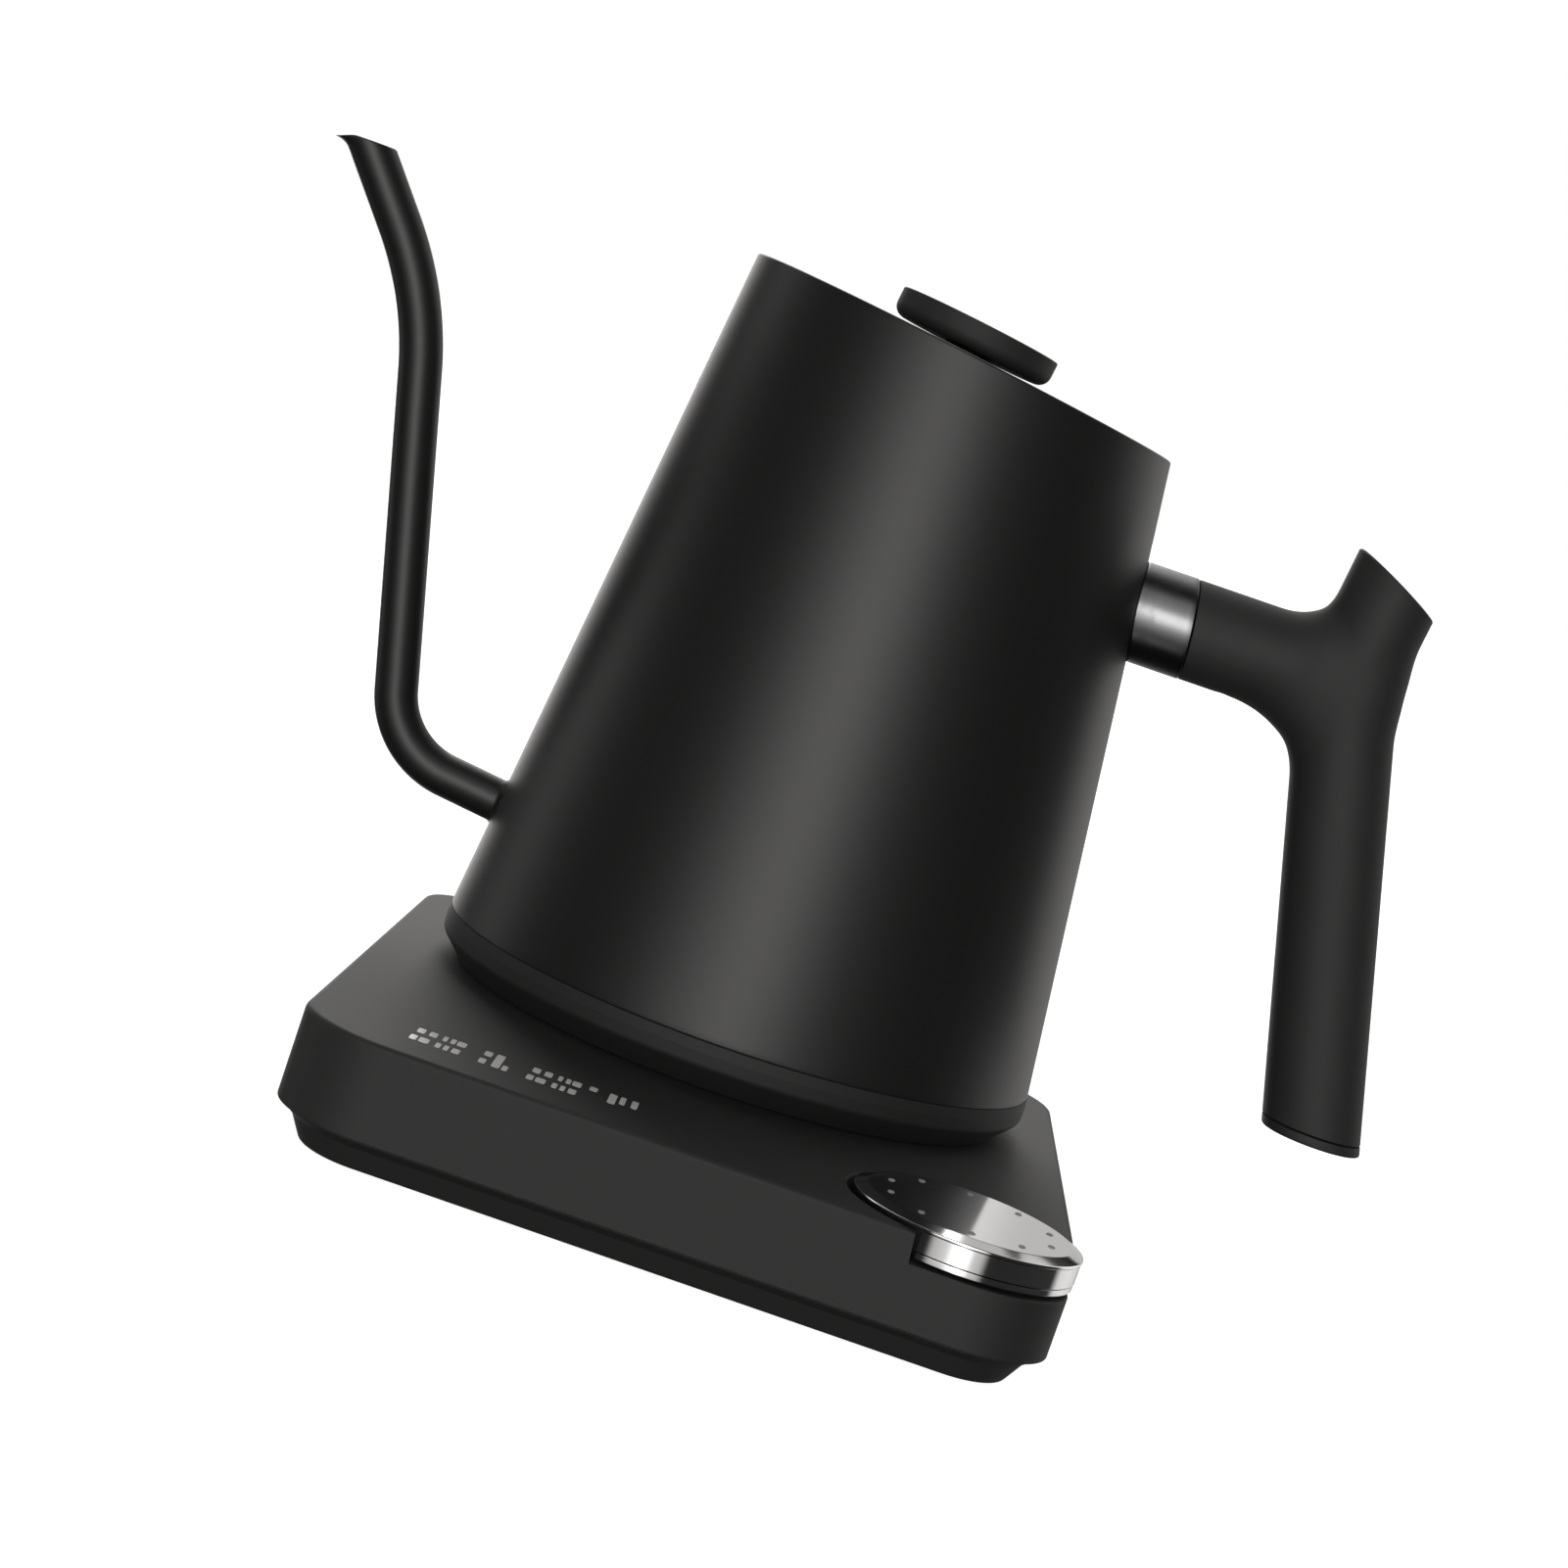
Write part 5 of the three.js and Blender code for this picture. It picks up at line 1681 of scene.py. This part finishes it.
        edge = [(0, -0.32), (0.04, -0.16), (0.14, -0.05), (0.28, 0.0)]
        lip = [(self.outer - w, self.mouth + h) for w, h in edge]
        lip += [(self.bore + w, self.mouth + h) for w, h in edge[::-1]]
        rows = [weld(share) for share in np.linspace(0, 1, 8)]
        rows += [ring(c, d, self.outer) for c, d in zip(centres, heading)]
        rows += towards_mouth(self.outer)
        rows += [at_mouth(radius, height) for radius, height in lip]
        rows += towards_mouth(self.bore)[::-1]
        rows += [ring(c, d, self.bore) for c, d in zip(centres[::-1], heading[::-1])]
        inner_end = self.root - 2.6 * self.outward
        rows += [ring(inner_end, self.outward, radius) for radius in (self.bore, self.outer)]
        rows += [at_wall(self.outer, -0.5)]
        return Surface.grid(self.flared(np.stack(rows), centres[-1]), closed=True)

    def flared(self, points: Array, tip: Array) -> Array:
        """Turns the front of the mouth out into a pouring lip.

        A point moves out by lip and down by drop, times the square of its share of the last few
        millimetres below the mouth, times a smooth step over the front third of the tube.

        Args:
            points: rows by columns by 3.
            tip: a point of the tip's straight centreline.

        Returns:
            The moved points.
        """
        lean = math.radians(self.tip_lean)
        x, _, z = np.moveaxis(points, -1, 0)
        middle = tip[0] - (z - tip[2]) * math.tan(lean)
        front = np.clip(((middle - x) / (self.outer / math.cos(lean)) - 0.35) / 0.6, 0, 1)
        near = np.clip((z - self.mouth + self.lip_rise) / self.lip_rise, 0, 1)
        share = near**2 * front**2 * (3 - 2 * front)
        return points + share[..., None] * np.array((-self.lip, 0.0, -self.lip_drop))

    def build(self) -> None:
        """Makes the tube in the vessel's coat."""
        piece(self.surface().thing("spout_tube"), "kettle", COAT, ["spout"], crease=50)


@dataclass
class Handle:
    """The ferrule on the wall, the moulded handle and its end cap.

    Attributes:
        body: the vessel it is fixed to.
        arm_drop: arm centreline below the rim plane on the axis.
        radius: of the arm and the grip.
        ferrule: radius of the metal ring.
        ferrule_length: along the arm, from the wall.
        reach: grip axis beyond the wall, at the height of the arm.
        grip_lean: degrees outwards going down.
        horn_rise: arm centreline to the middle of the slanted top.
        horn_lean: degrees outwards going up.
        horn_tilt: slope of the top face in degrees.
        horn_radius: of the horn.
        under_blend: size of the curve under the arm.
        upper_blend: size of the curve over the arm.
        waist_blend: size of the curve between grip and horn.
        gap: between neighbouring pieces.
        cap_height: of the end cap.
        cell: size of a face.
    """

    body: Body
    arm_drop: float = 39.1
    radius: float = 10.8
    ferrule: float = 10.9
    ferrule_length: float = 11.6
    reach: float = 47.8
    grip_lean: float = 15.15
    horn_rise: float = 23.4
    horn_lean: float = 6.5
    horn_tilt: float = 27.3
    horn_radius: float = 10.6
    under_blend: float = 14.0
    upper_blend: float = 8.5
    waist_blend: float = 6.5
    gap: float = 0.3
    cap_height: float = 2.2
    cell: float = 0.62

    def __post_init__(self) -> None:
        """Places the joint of arm, grip and horn."""
        self.arm = self.body.rim_height - self.arm_drop
        self.wall_x = float(self.body.radius(self.arm))
        self.knee = np.array((self.wall_x + self.reach, self.arm))
        self.lean = math.radians(self.grip_lean)
        self.end = float(span("handle_end_cap")[0][2])
        self.wall_normal = np.array((math.cos(self.body.lean), 0.0, math.sin(self.body.lean)))
        horn = math.radians(self.horn_lean)
        self.down = np.array((math.sin(self.lean), -math.cos(self.lean)))
        self.up = np.array((math.sin(horn), math.cos(horn)))

    def outline_distance(self, x: Array, z: Array) -> Array:
        """Distance from the handle's outline in the kettle's plane, negative inside.

        The arm, the grip and the horn are bars round straight segments. Two bars at distances p and
        q blend into p (1 - h) + q h - k h (1 - h), with h = (1 + (p - q) / k) / 2 held to 0..1. Under
        and over the arm k differs, and goes evenly from one to the other across it.

        Args:
            x: distances from the axis.
            z: heights.

        Returns:
            Distances.
        """
        spot = np.stack((x, z), axis=-1)

        def bar(start: Array, end: Array, radius: float) -> Array:
            """Distance from a bar round a segment."""
            along = end - start
            share = np.clip((spot - start) @ along / (along @ along), 0, 1)[..., None]
            return np.linalg.norm(spot - start - share * along, axis=-1) - radius

        def blend(p: Array, q: Array, size: Array | float) -> Array:
            """The smooth lesser of two distances."""
            h = np.clip(0.5 + 0.5 * (p - q) / size, 0, 1)
            return p * (1 - h) + q * h - size * h * (1 - h)

        arm = bar(np.array((self.wall_x - 20, self.arm)), self.knee - (13.0, 0.0), self.radius)
        grip = bar(self.knee, self.knee + 130 * self.down, self.radius)
        horn = bar(self.knee, self.knee + 60 * self.up, self.horn_radius - 0.2)
        stem = blend(grip, horn, self.waist_blend)
        from_arm = np.clip((z - self.arm) / self.radius, -1, 1) / 2 + 0.5
        return blend(arm, stem, self.under_blend + (self.upper_blend - self.under_blend) * from_arm)

    def distance(self, points: Array) -> Array:
        """Distance from the handle's skin.

        The skin is everything at the bar's radius from the flat core, which is the part of the
        outline deeper than that radius: sqrt(max(d + r, 0)^2 + y^2) - r.

        Args:
            points: n by 3.

        Returns:
            Distances, n.
        """
        inward = np.maximum(self.outline_distance(points[:, 0], points[:, 2]) + self.radius, 0.0)
        return np.hypot(inward, points[:, 1]) - self.radius

    def settled(self, points: Array) -> Array:
        """Points moved onto the skin along its gradient, found from differences of 0.01 mm."""
        nudge = 0.01
        for _ in range(5):
            slopes = np.stack([
                (self.distance(points + nudge * axis) - self.distance(points - nudge * axis)) / (2 * nudge)
                for axis in np.eye(3)
            ], axis=-1)
            steep = np.maximum((slopes**2).sum(axis=-1), 0.05)
            points = points - (self.distance(points) / steep)[:, None] * slopes
        return points

    def rough(self) -> bpy.types.Object:
        """Three overlapping bars remeshed into one skin of even faces.

        Returns:
            The object, before its points settle on the skin.
        """
        def bar(start: Array, end: Array) -> Surface:
            """A plain bar between two places in the kettle's plane."""
            along = unit(np.array((end[0] - start[0], 0.0, end[1] - start[1])))
            side = np.array((0.0, 1.0, 0.0))
            length = float(np.linalg.norm(end - start))
            stock = rod(self.radius - 0.1, 0, length, steps=48)
            p = stock.points
            origin = np.array((start[0], 0.0, start[1]))
            moved = origin + p[:, 2:] * along + p[:, :1] * side + p[:, 1:2] * np.cross(along, side)
            return Surface(moved, stock.faces)

        whole = bar(np.array((self.wall_x + 4, self.arm)), self.knee)
        whole = whole + bar(self.knee - 9 * self.down, self.knee + 108 * self.down)
        whole = whole + bar(self.knee - 6 * self.up, self.knee + 34 * self.up)
        thing = whole.thing("handle_skin")
        step = thing.modifiers.new("skin", "REMESH")
        step.mode = "VOXEL"
        step.voxel_size = self.cell * MM
        return baked(thing)

    def ends(self) -> list[tuple[Array, Array, float]]:
        """The three flat ends, as a point, the outward direction and the rounding."""
        tilt = math.radians(self.horn_tilt)
        top = self.knee + self.horn_rise * np.array((math.tan(math.radians(self.horn_lean)), 1.0))
        start = np.array((self.wall_x + self.ferrule_length + self.gap, 0.0, self.arm))
        foot = self.end + self.cap_height + self.gap
        return [
            (np.array((top[0], 0.0, top[1])), np.array((math.sin(tilt), 0.0, math.cos(tilt))), 0.55),
            (start, -self.wall_normal, 0.2),
            (np.array((0.0, 0.0, foot)), np.array((0.0, 0.0, -1.0)), 0.2),
        ]

    def trim(self, work: bmesh.types.BMesh, spot: Array, out: Array, edge: float) -> None:
        """Cuts the skin off at a plane and closes it with a rounded edge and a flat face.

        The cut is made one rounding below the plane. Rings then follow a quarter circle: lifted by
        edge sin a and drawn in towards the middle by edge (1 - cos a).

        Args:
            work: the skin, in metres.
            spot: a point of the plane.
            out: its outward direction.
            edge: the rounding.
        """
        level = (spot - edge * out) * MM + AXIS
        everything = work.verts[:] + work.edges[:] + work.faces[:]
        bmesh.ops.bisect_plane(work, geom=everything, plane_co=level, plane_no=out, clear_outer=True)
        rim = [v for v in work.verts if abs((np.array(v.co) - level) @ out) < 1e-6 and v.is_boundary]
        places = (np.array([v.co for v in rim]) - AXIS) / MM
        centre = places.mean(axis=0)
        first = unit(np.cross(out, (0.0, 1.0, 0.0)))
        second = np.cross(out, first)
        order = np.argsort(np.arctan2((places - centre) @ second, (places - centre) @ first))
        ring = places[order]
        inward = unit(centre - ring)
        turn = np.linspace(0, math.pi / 2, 6)[:, None, None]
        curve = ring + edge * np.sin(turn) * out + edge * (1 - np.cos(turn)) * inward
        reach = np.linalg.norm(centre - ring, axis=-1)[:, None] - edge
        rings = [*curve, curve[-1] + 0.15 * reach * inward]
        verts = [[rim[i] for i in order]]
        verts += [[work.verts.new(p * MM + AXIS) for p in row] for row in rings[1:]]
        for below, above in zip(verts, verts[1:]):
            for j in range(len(below)):
                k = (j + 1) % len(below)
                work.faces.new((below[j], below[k], above[k], above[j]))
        work.faces.new(verts[-1])

    def moulding(self) -> None:
        """The one-piece handle with its three ends cut flat and the set screw's hole below."""
        thing = self.rough()
        mesh = thing.data
        moved(mesh, self.settled)
        work = bmesh.new()
        work.from_mesh(mesh)
        for spot, out, edge in self.ends():
            self.trim(work, spot, out, edge)
        work.to_mesh(mesh)
        work.free()
        low, high = span("handle_set_screw")
        bore = girth("handle_set_screw") + self.gap
        hole = rod(bore, low[2] - 4, high[2], *middle("handle_set_screw")[:2], steps=40)
        piece(carved(thing, [hole]), "kettle", GRIP, ["handle_grip"], crease=50)

    def ring(self) -> None:
        """The metal ferrule: its inner end lies on the wall and its outer end is a plane parallel
        to the wall, both worked out for every ring point (y, z) as the wall's x there."""
        turn = round_angles(160)

        def along(radius: float, from_wall: float | None, from_end: float | None) -> Array:
            """A ring of one radius, a length off the wall or short of the outer end."""
            y, z = -radius * np.sin(turn), self.arm + radius * np.cos(turn)
            if from_wall is not None:
                x = np.sqrt(self.body.radius(z) ** 2 - y**2) + from_wall
            else:
                end = self.wall_x + self.ferrule_length - from_end
                x = end - self.body.slope * (z - self.arm)
            return np.column_stack((x, y, z))

        edge = 0.15
        quarter = np.linspace(0, math.pi / 2, 5)
        rows = [along(self.ferrule - 0.15, 0.02, None), along(self.ferrule, 0.2, None)]
        rows += [along(self.ferrule, 0.6, None), along(self.ferrule, None, 1.2)]
        rows += [
            along(self.ferrule - edge * (1 - math.cos(a)), None, edge * (1 - math.sin(a)))
            for a in quarter
        ]
        rows += [along(8.3, None, 0.0), along(8.3, 0.02, None)]
        band = Surface.grid(np.stack(rows), closed=True)
        piece(band.thing("ferrule_band"), "kettle", SATIN_CHROME, ["handle_ferrule"], crease=50)

    def cap(self) -> None:
        """The end cap: level slices of the leaning grip, so each slice is an ellipse whose centre
        moves with the lean. Shares of the full slice round its lower edge."""
        edge = 0.6
        quarter = np.linspace(0, math.pi / 2, 7)
        heights = np.concatenate(((self.end, self.end), self.end + edge * (1 - np.cos(quarter))))
        shares = np.concatenate(((0.0, 0.75), 1 - edge / self.radius * (1 - np.sin(quarter))))
        top = self.end + self.cap_height
        heights = np.concatenate((heights, (top - 0.15, top, top)))
        shares = np.concatenate((shares, (1.0, 0.985, 0.0)))
        turn = round_angles(128)
        centre = self.knee[0] + math.tan(self.lean) * (self.arm - heights[:, None])
        x = centre + self.radius / math.cos(self.lean) * shares[:, None] * np.cos(turn)
        y = self.radius * shares[:, None] * np.sin(turn)
        z = heights[:, None] + 0 * turn
        disc = Surface.grid(np.stack((x, y, z), axis=-1))
        piece(disc.thing("grip_end"), "kettle", GRIP, ["handle_end_cap"], crease=50)

    def build(self) -> None:
        """Makes the handle; the bracket and the set screw keep their CAD shapes."""
        self.moulding()
        self.ring()
        self.cap()
        dress_nodes(STEEL, "handle_bracket", "handle_set_screw")


@dataclass
class Lid:
    """The sunk lid with its round knob, its plug and seal, and the ledge it rests on.

    Attributes:
        body: the vessel it closes.
        sink: top of the disc below the rim plane.
        thickness: of the disc.
        ledge: width of the ledge inside the mouth.
        plug_depth: of the plug below the disc.
        knob: radius of the knob.
        knob_rise: underside of the knob above the rim plane.
        knob_height: underside to top.
        undercut: radius of its lower edge.
        gap: between neighbouring pieces.
    """

    body: Body
    sink: float = 0.6
    thickness: float = 1.8
    ledge: float = 7.2
    plug_depth: float = 11.0
    knob: float = 18.3
    knob_rise: float = 1.8
    knob_height: float = 6.0
    undercut: float = 2.7
    gap: float = 0.3

    def __post_init__(self) -> None:
        """Finds the mouth's centre and radius in the slanted rim plane."""
        tilt = math.radians(self.body.tilt)
        share = self.body.slope * math.tan(tilt)
        near, far = self.body.rim_radius / (1 + share), self.body.rim_radius / (1 - share)
        self.shift = (far - near) / 2 / math.cos(tilt)
        self.mouth = math.sqrt(near * far)
        self.disc_bottom = -self.sink - self.thickness
        self.ledge_radius = self.mouth - self.body.wall - self.ledge
        self.plug = self.ledge_radius - 1.2

    def tilted(self, points: Array) -> Array:
        """Moves points from the mouth's own axes: shifted along X, turned about Y by the tilt, and
        raised to the rim.

        Args:
            points: n by 3 about the mouth's centre.

        Returns:
            The same points about the kettle's axis.
        """
        tilt = math.radians(self.body.tilt)
        x, y, z = (points + (self.shift, 0.0, 0.0)).T
        return np.column_stack((
            x * math.cos(tilt) + z * math.sin(tilt),
            y,
            z * math.cos(tilt) - x * math.sin(tilt) + self.body.rim_height,
        ))

    def disc(self) -> None:
        """The flat disc, with a soft outer edge and a shallow ring round the knob."""
        radius = self.mouth - self.body.wall - 1.0
        top = -self.sink
        profile = rounded((
            (2.3, self.disc_bottom, 0.1),
            (radius, self.disc_bottom, 0.3),
            (radius, top, 0.6),
            (self.knob + 3.2, top, 0.3),
            (self.knob + 2.6, top - 0.35, 0.3),
            (2.3, top - 0.35, 0.1),
        ), steps=6)
        disc = turned(profile, 192).placed(self.tilted)
        piece(disc.thing("lid_plate"), "lid", COAT, ["lid_disc"])

    def knob_piece(self) -> None:
        """The knob: a crisp top edge, a straight side and a lower edge that curves in."""
        top = self.knob_rise + self.knob_height
        stem = 5.5
        foot = -self.sink + self.gap
        profile = np.vstack((
            (0, foot),
            rounded((
                (stem, foot, 0.2),
                (stem, self.knob_rise, 0.6),
                (self.knob, self.knob_rise, self.undercut),
                (self.knob, top, 0.35),
                (0, top, 0),
            ), steps=10)[:-1],
            (0, top),
        ))
        knob = turned(profile, 192, closed=False).placed(self.tilted)
        piece(knob.thing("lid_handle"), "lid", GRIP, ["lid_knob"])

    def plug_piece(self) -> None:
        """The hollow plug with its seal groove and five steam holes, and the seal."""
        bottom = self.disc_bottom - self.plug_depth
        top = self.disc_bottom - self.gap
        groove_top, groove_bottom = -7.4, -10.0
        profile = np.vstack((
            (0, bottom),
            rounded((
                (self.plug, bottom, 1.0),
                (self.plug, groove_bottom, 0.2),
                (self.plug - 1.6, groove_bottom, 0.2),
                (self.plug - 1.6, groove_top, 0.2),
                (self.plug, groove_top, 0.2),
                (self.plug, top, 0.3),
                (self.plug - 3.4, top, 0.3),
                (self.plug - 3.4, bottom + 1.6, 0.8),
                (0, bottom + 1.6, 0),
            ), steps=5)[:-1],
            (0, bottom + 1.6),
        ))
        plug = turned(profile, 160, closed=False).thing("lid_plug")
        spots = [(self.plug - 12, 2 * math.pi * number / 5) for number in range(5)]
        carved(plug, [
            rod(1.6, bottom - 1, bottom + 3, r * math.cos(a), r * math.sin(a), steps=24) for r, a in spots
        ])
        moved(plug.data, self.tilted)
        piece(plug, "lid", HOUSING, ["lid_skirt"])
        seal = rounded((
            (self.plug - 1.3, groove_bottom + self.gap, 0.2),
            (self.plug, groove_bottom + self.gap, 0.5),
            (self.ledge_radius - self.gap, (groove_bottom + groove_top) / 2, 0.4),
            (self.plug, groove_top - self.gap, 0.5),
            (self.plug - 1.3, groove_top - self.gap, 0.2),
        ), steps=6)
        ring = turned(seal, 160).placed(self.tilted)
        piece(ring.thing("lid_seal"), "lid", SILICONE, ["lid_gasket"])

    def collar(self) -> None:
        """The ledge inside the mouth, welded to the wall: a turned-down flange whose outer edge
        follows the cone, so its reach is the mouth's radius plus slope times depth."""
        top = self.disc_bottom - self.gap
        reach = self.mouth - self.body.wall - 0.32
        profile = rounded((
            (self.ledge_radius, -12.0, 0.2),
            (self.ledge_radius + 1.4, -12.0, 0.4),
            (self.ledge_radius + 1.4, top - 1.6, 0.6),
            (reach, top - 1.6, 0.1),
            (reach, top, 0.1),
            (self.ledge_radius, top, 1.0),
        ), steps=6)
        ledge = turned(profile, 192).placed(self.tilted)
        piece(ledge.thing("mouth_ledge"), "kettle", STEEL, ["rim_collar"])

    def build(self) -> None:
        """Makes the lid; its screw keeps its CAD shape."""
        self.disc()
        self.knob_piece()
        self.plug_piece()
        self.collar()
        dress_nodes(STEEL, "knob_screw")


@dataclass
class Electronics:
    """What is shut inside the base."""

    def build(self) -> None:
        """Gives the boards and what stands on them their materials."""
        dress_nodes(BOARD, "power_board", "main_board", "encoder_board", "display_board")
        dress_nodes(HOUSING, "relay", "buzzer")
        dress_nodes(WHITE, "transformer")
        dress_nodes(GLOWING_PRINT, "light_guide")


# ---------------------------------------------------------------------------------------------
# Stage
# ---------------------------------------------------------------------------------------------


Stops = Sequence[tuple[float, float]]


@dataclass
class Studio:
    """Floor, surroundings, lights and camera.

    Attributes:
        lens: focal length in millimetres.
        eye: camera from the foot of the kettle's axis, in metres.
        pitch: degrees down.
        yaw: degrees to the left.
        roll: degrees by which the object looks turned clockwise.
        floor_size: radius of the floor in metres.
        room: level by bearing in degrees from straight back, towards the right.
        room_rise: share of it by elevation in degrees.
        panel: share of the front panel by degrees from the front, towards the right.
        panel_rise: share of it by elevation.
        panel_level: its brightness.
        floor_glow: the floor's own light near the object and far from it.
        floor_reach: distances in metres between which it changes.
    """

    lens: float = 78.7
    eye: tuple[float, float, float] = (0.00029, -0.738, 0.162)
    pitch: float = 6.1
    yaw: float = 0.496
    roll: float = 19.0
    floor_size: float = 30.0
    room: Stops = (
        (-180, 0.02), (-78, 0.02), (-74, 1.4), (-62, 1.4), (-57, 0.03), (-32, 0.03), (-26, 3.4),
        (1, 3.4), (5, 0.55), (20, 0.55), (30, 0.9), (50, 1.1), (66, 1.0), (76, 0.04), (180, 0.02),
    )
    room_rise: Stops = ((-60, 0.0), (-25, 0.35), (-8, 1.0), (58, 1.0), (72, 0.3), (85, 0.05))
    panel: Stops = (
        (-34, 0.0), (-28, 0.22), (-15, 0.32), (-8, 0.62), (-3.5, 0.8), (-1.5, 1.3), (1.5, 1.3),
        (3.5, 0.8), (7, 0.6), (12, 0.3), (20, 0.22), (26, 0.0),
    )
    panel_rise: Stops = (
        (-45, 0.0), (-30, 0.08), (-18, 0.16), (-8, 0.32), (-1, 1.0), (18, 1.0), (22, 0.2),
        (58, 0.15), (64, 0.0),
    )
    panel_level: float = 9.5
    floor_glow: tuple[float, float] = (0.93, 1.05)
    floor_reach: tuple[float, float] = (0.15, 0.9)

    def camera(self) -> None:
        """The camera, level with the top of the kettle and rolled."""
        data = bpy.data.cameras.new("camera")
        data.lens = self.lens
        data.clip_start, data.clip_end = 0.01, 200.0
        camera = bpy.data.objects.new("camera", data)
        bpy.context.scene.collection.objects.link(camera)
        turn = Matrix.Rotation(math.radians(self.yaw), 4, "Z")
        tip = Matrix.Rotation(math.radians(90 - self.pitch), 4, "X")
        roll = Matrix.Rotation(math.radians(self.roll), 4, "Z")
        camera.matrix_world = Matrix.Translation(AXIS + np.array(self.eye)) @ turn @ tip @ roll
        bpy.context.scene.camera = camera

    def floor(self) -> None:
        """A wide pale disc under the object. The camera sees it lit, and whiter further out, so
        that it meets the backdrop without a line. Other rays pass it and meet the room."""
        turn = round_angles(96)[:, None]
        rim = np.column_stack((np.cos(turn), np.sin(turn), 0 * turn)) * self.floor_size
        mesh = bpy.data.meshes.new("floor")
        mesh.from_pydata(rim.tolist(), [], [list(range(96))])
        floor = bpy.data.objects.new("floor", mesh)
        bpy.context.scene.collection.objects.link(floor)
        material = bpy.data.materials.new("pale_floor")
        tree = emptied(material)
        place = put(tree, "TexCoord").outputs["Object"]
        away = put(tree, "VectorMath", {0: place}, operation="LENGTH")
        glow = put(tree, "MapRange", {
            "Value": away.outputs["Value"],
            "From Min": self.floor_reach[0],
            "From Max": self.floor_reach[1],
            "To Min": self.floor_glow[0],
            "To Max": self.floor_glow[1],
        })
        matt = put(tree, "BsdfDiffuse", {"Color": (0.5, 0.5, 0.5, 1)})
        lit = put(tree, "Emission", {"Color": (1, 1, 1, 1), "Strength": glow.outputs["Result"]})
        both = put(tree, "AddShader", {0: matt.outputs[0], 1: lit.outputs[0]})
        clear = put(tree, "BsdfTransparent")
        seen = put(tree, "LightPath").outputs["Is Camera Ray"]
        mix = put(tree, "MixShader", {0: seen, 1: clear.outputs[0], 2: both.outputs[0]})
        result = tree.nodes.new("ShaderNodeOutputMaterial")
        tree.links.new(mix.outputs[0], result.inputs["Surface"])
        mesh.materials.append(material)

    @staticmethod
    def ramp(tree: bpy.types.NodeTree, value: Socket, ends: tuple[float, float], stops: Stops) -> Socket:
        """A level that follows straight lines between stops.

        Args:
            tree: the tree that gets the nodes.
            value: what the stops are along.
            ends: its lowest and highest value.
            stops: (value, level) in rising order.

        Returns:
            The level.
        """
        share = put(tree, "MapRange", {"Value": value, "From Min": ends[0], "From Max": ends[1]})
        node = put(tree, "ValToRGB", {"Fac": share.outputs["Result"]})
        elements = node.color_ramp.elements
        while len(elements) < len(stops):
            elements.new(0.5)
        for element, (place, level) in zip(elements, stops):
            element.position = (place - ends[0]) / (ends[1] - ends[0])
            element.color = (level, level, level, 1)
        return node.outputs["Color"]

    def surroundings(self) -> None:
        """White where the camera looks. For light and reflections the room has a tall soft panel
        behind the camera, a strip on the left, a bright wall behind on the right, and is dark
        elsewhere. Bearings run from straight back, towards the right, in radians."""
        world = bpy.data.worlds.new("room")
        bpy.context.scene.world = world
        tree = emptied(world)
        way = put(tree, "SeparateXYZ", {0: put(tree, "TexCoord").outputs["Generated"]}).outputs
        bearing = maths(tree, "ARCTAN2", way["X"], way["Y"])
        forward = maths(tree, "ARCTAN2", way["X"], maths(tree, "MULTIPLY", way["Y"], -1.0))

        def round_the_room(value: Socket, stops: Stops) -> Socket:
            """A level by bearing in degrees."""
            turns = [(math.radians(degrees), level) for degrees, level in stops]
            return self.ramp(tree, value, (-math.pi, math.pi), turns)

        def upwards(stops: Stops) -> Socket:
            """A level by elevation in degrees, whose sine is the direction's Z."""
            rises = [(math.sin(math.radians(degrees)), level) for degrees, level in stops]
            return self.ramp(tree, way["Z"], (-1, 1), rises)

        around, wide = round_the_room(bearing, self.room), round_the_room(forward, self.panel)
        panel = maths(tree, "MULTIPLY", wide, upwards(self.panel_rise))
        lit = maths(tree, "MULTIPLY", panel, self.panel_level)
        room = maths(tree, "MULTIPLY", around, upwards(self.room_rise))
        total = maths(tree, "ADD", lit, room)
        light = put(tree, "Background", {"Color": (1.0, 0.985, 0.965, 1), "Strength": total})
        white = put(tree, "Background", {"Color": (1, 1, 1, 1), "Strength": 1.0})
        seen = put(tree, "LightPath").outputs["Is Camera Ray"]
        mix = put(tree, "MixShader", {0: seen, 1: light.outputs[0], 2: white.outputs[0]})
        result = tree.nodes.new("ShaderNodeOutputWorld")
        tree.links.new(mix.outputs[0], result.inputs["Surface"])

    def build(self) -> None:
        """Sets the whole stage."""
        self.camera()
        self.floor()
        self.surroundings()
        bpy.context.scene.view_settings.view_transform = "Standard"


def main() -> None:
    """Builds every sub-assembly in order."""
    logging.basicConfig(level=logging.INFO, format="%(message)s")
    Studio().build()
    Casing().build()
    PowerConnector().build()
    Dial().build()
    body = Body()
    body.build()
    Handle(body).build()
    Lid(body).build()
    Electronics().build()


if __name__ == "__main__":
    main()
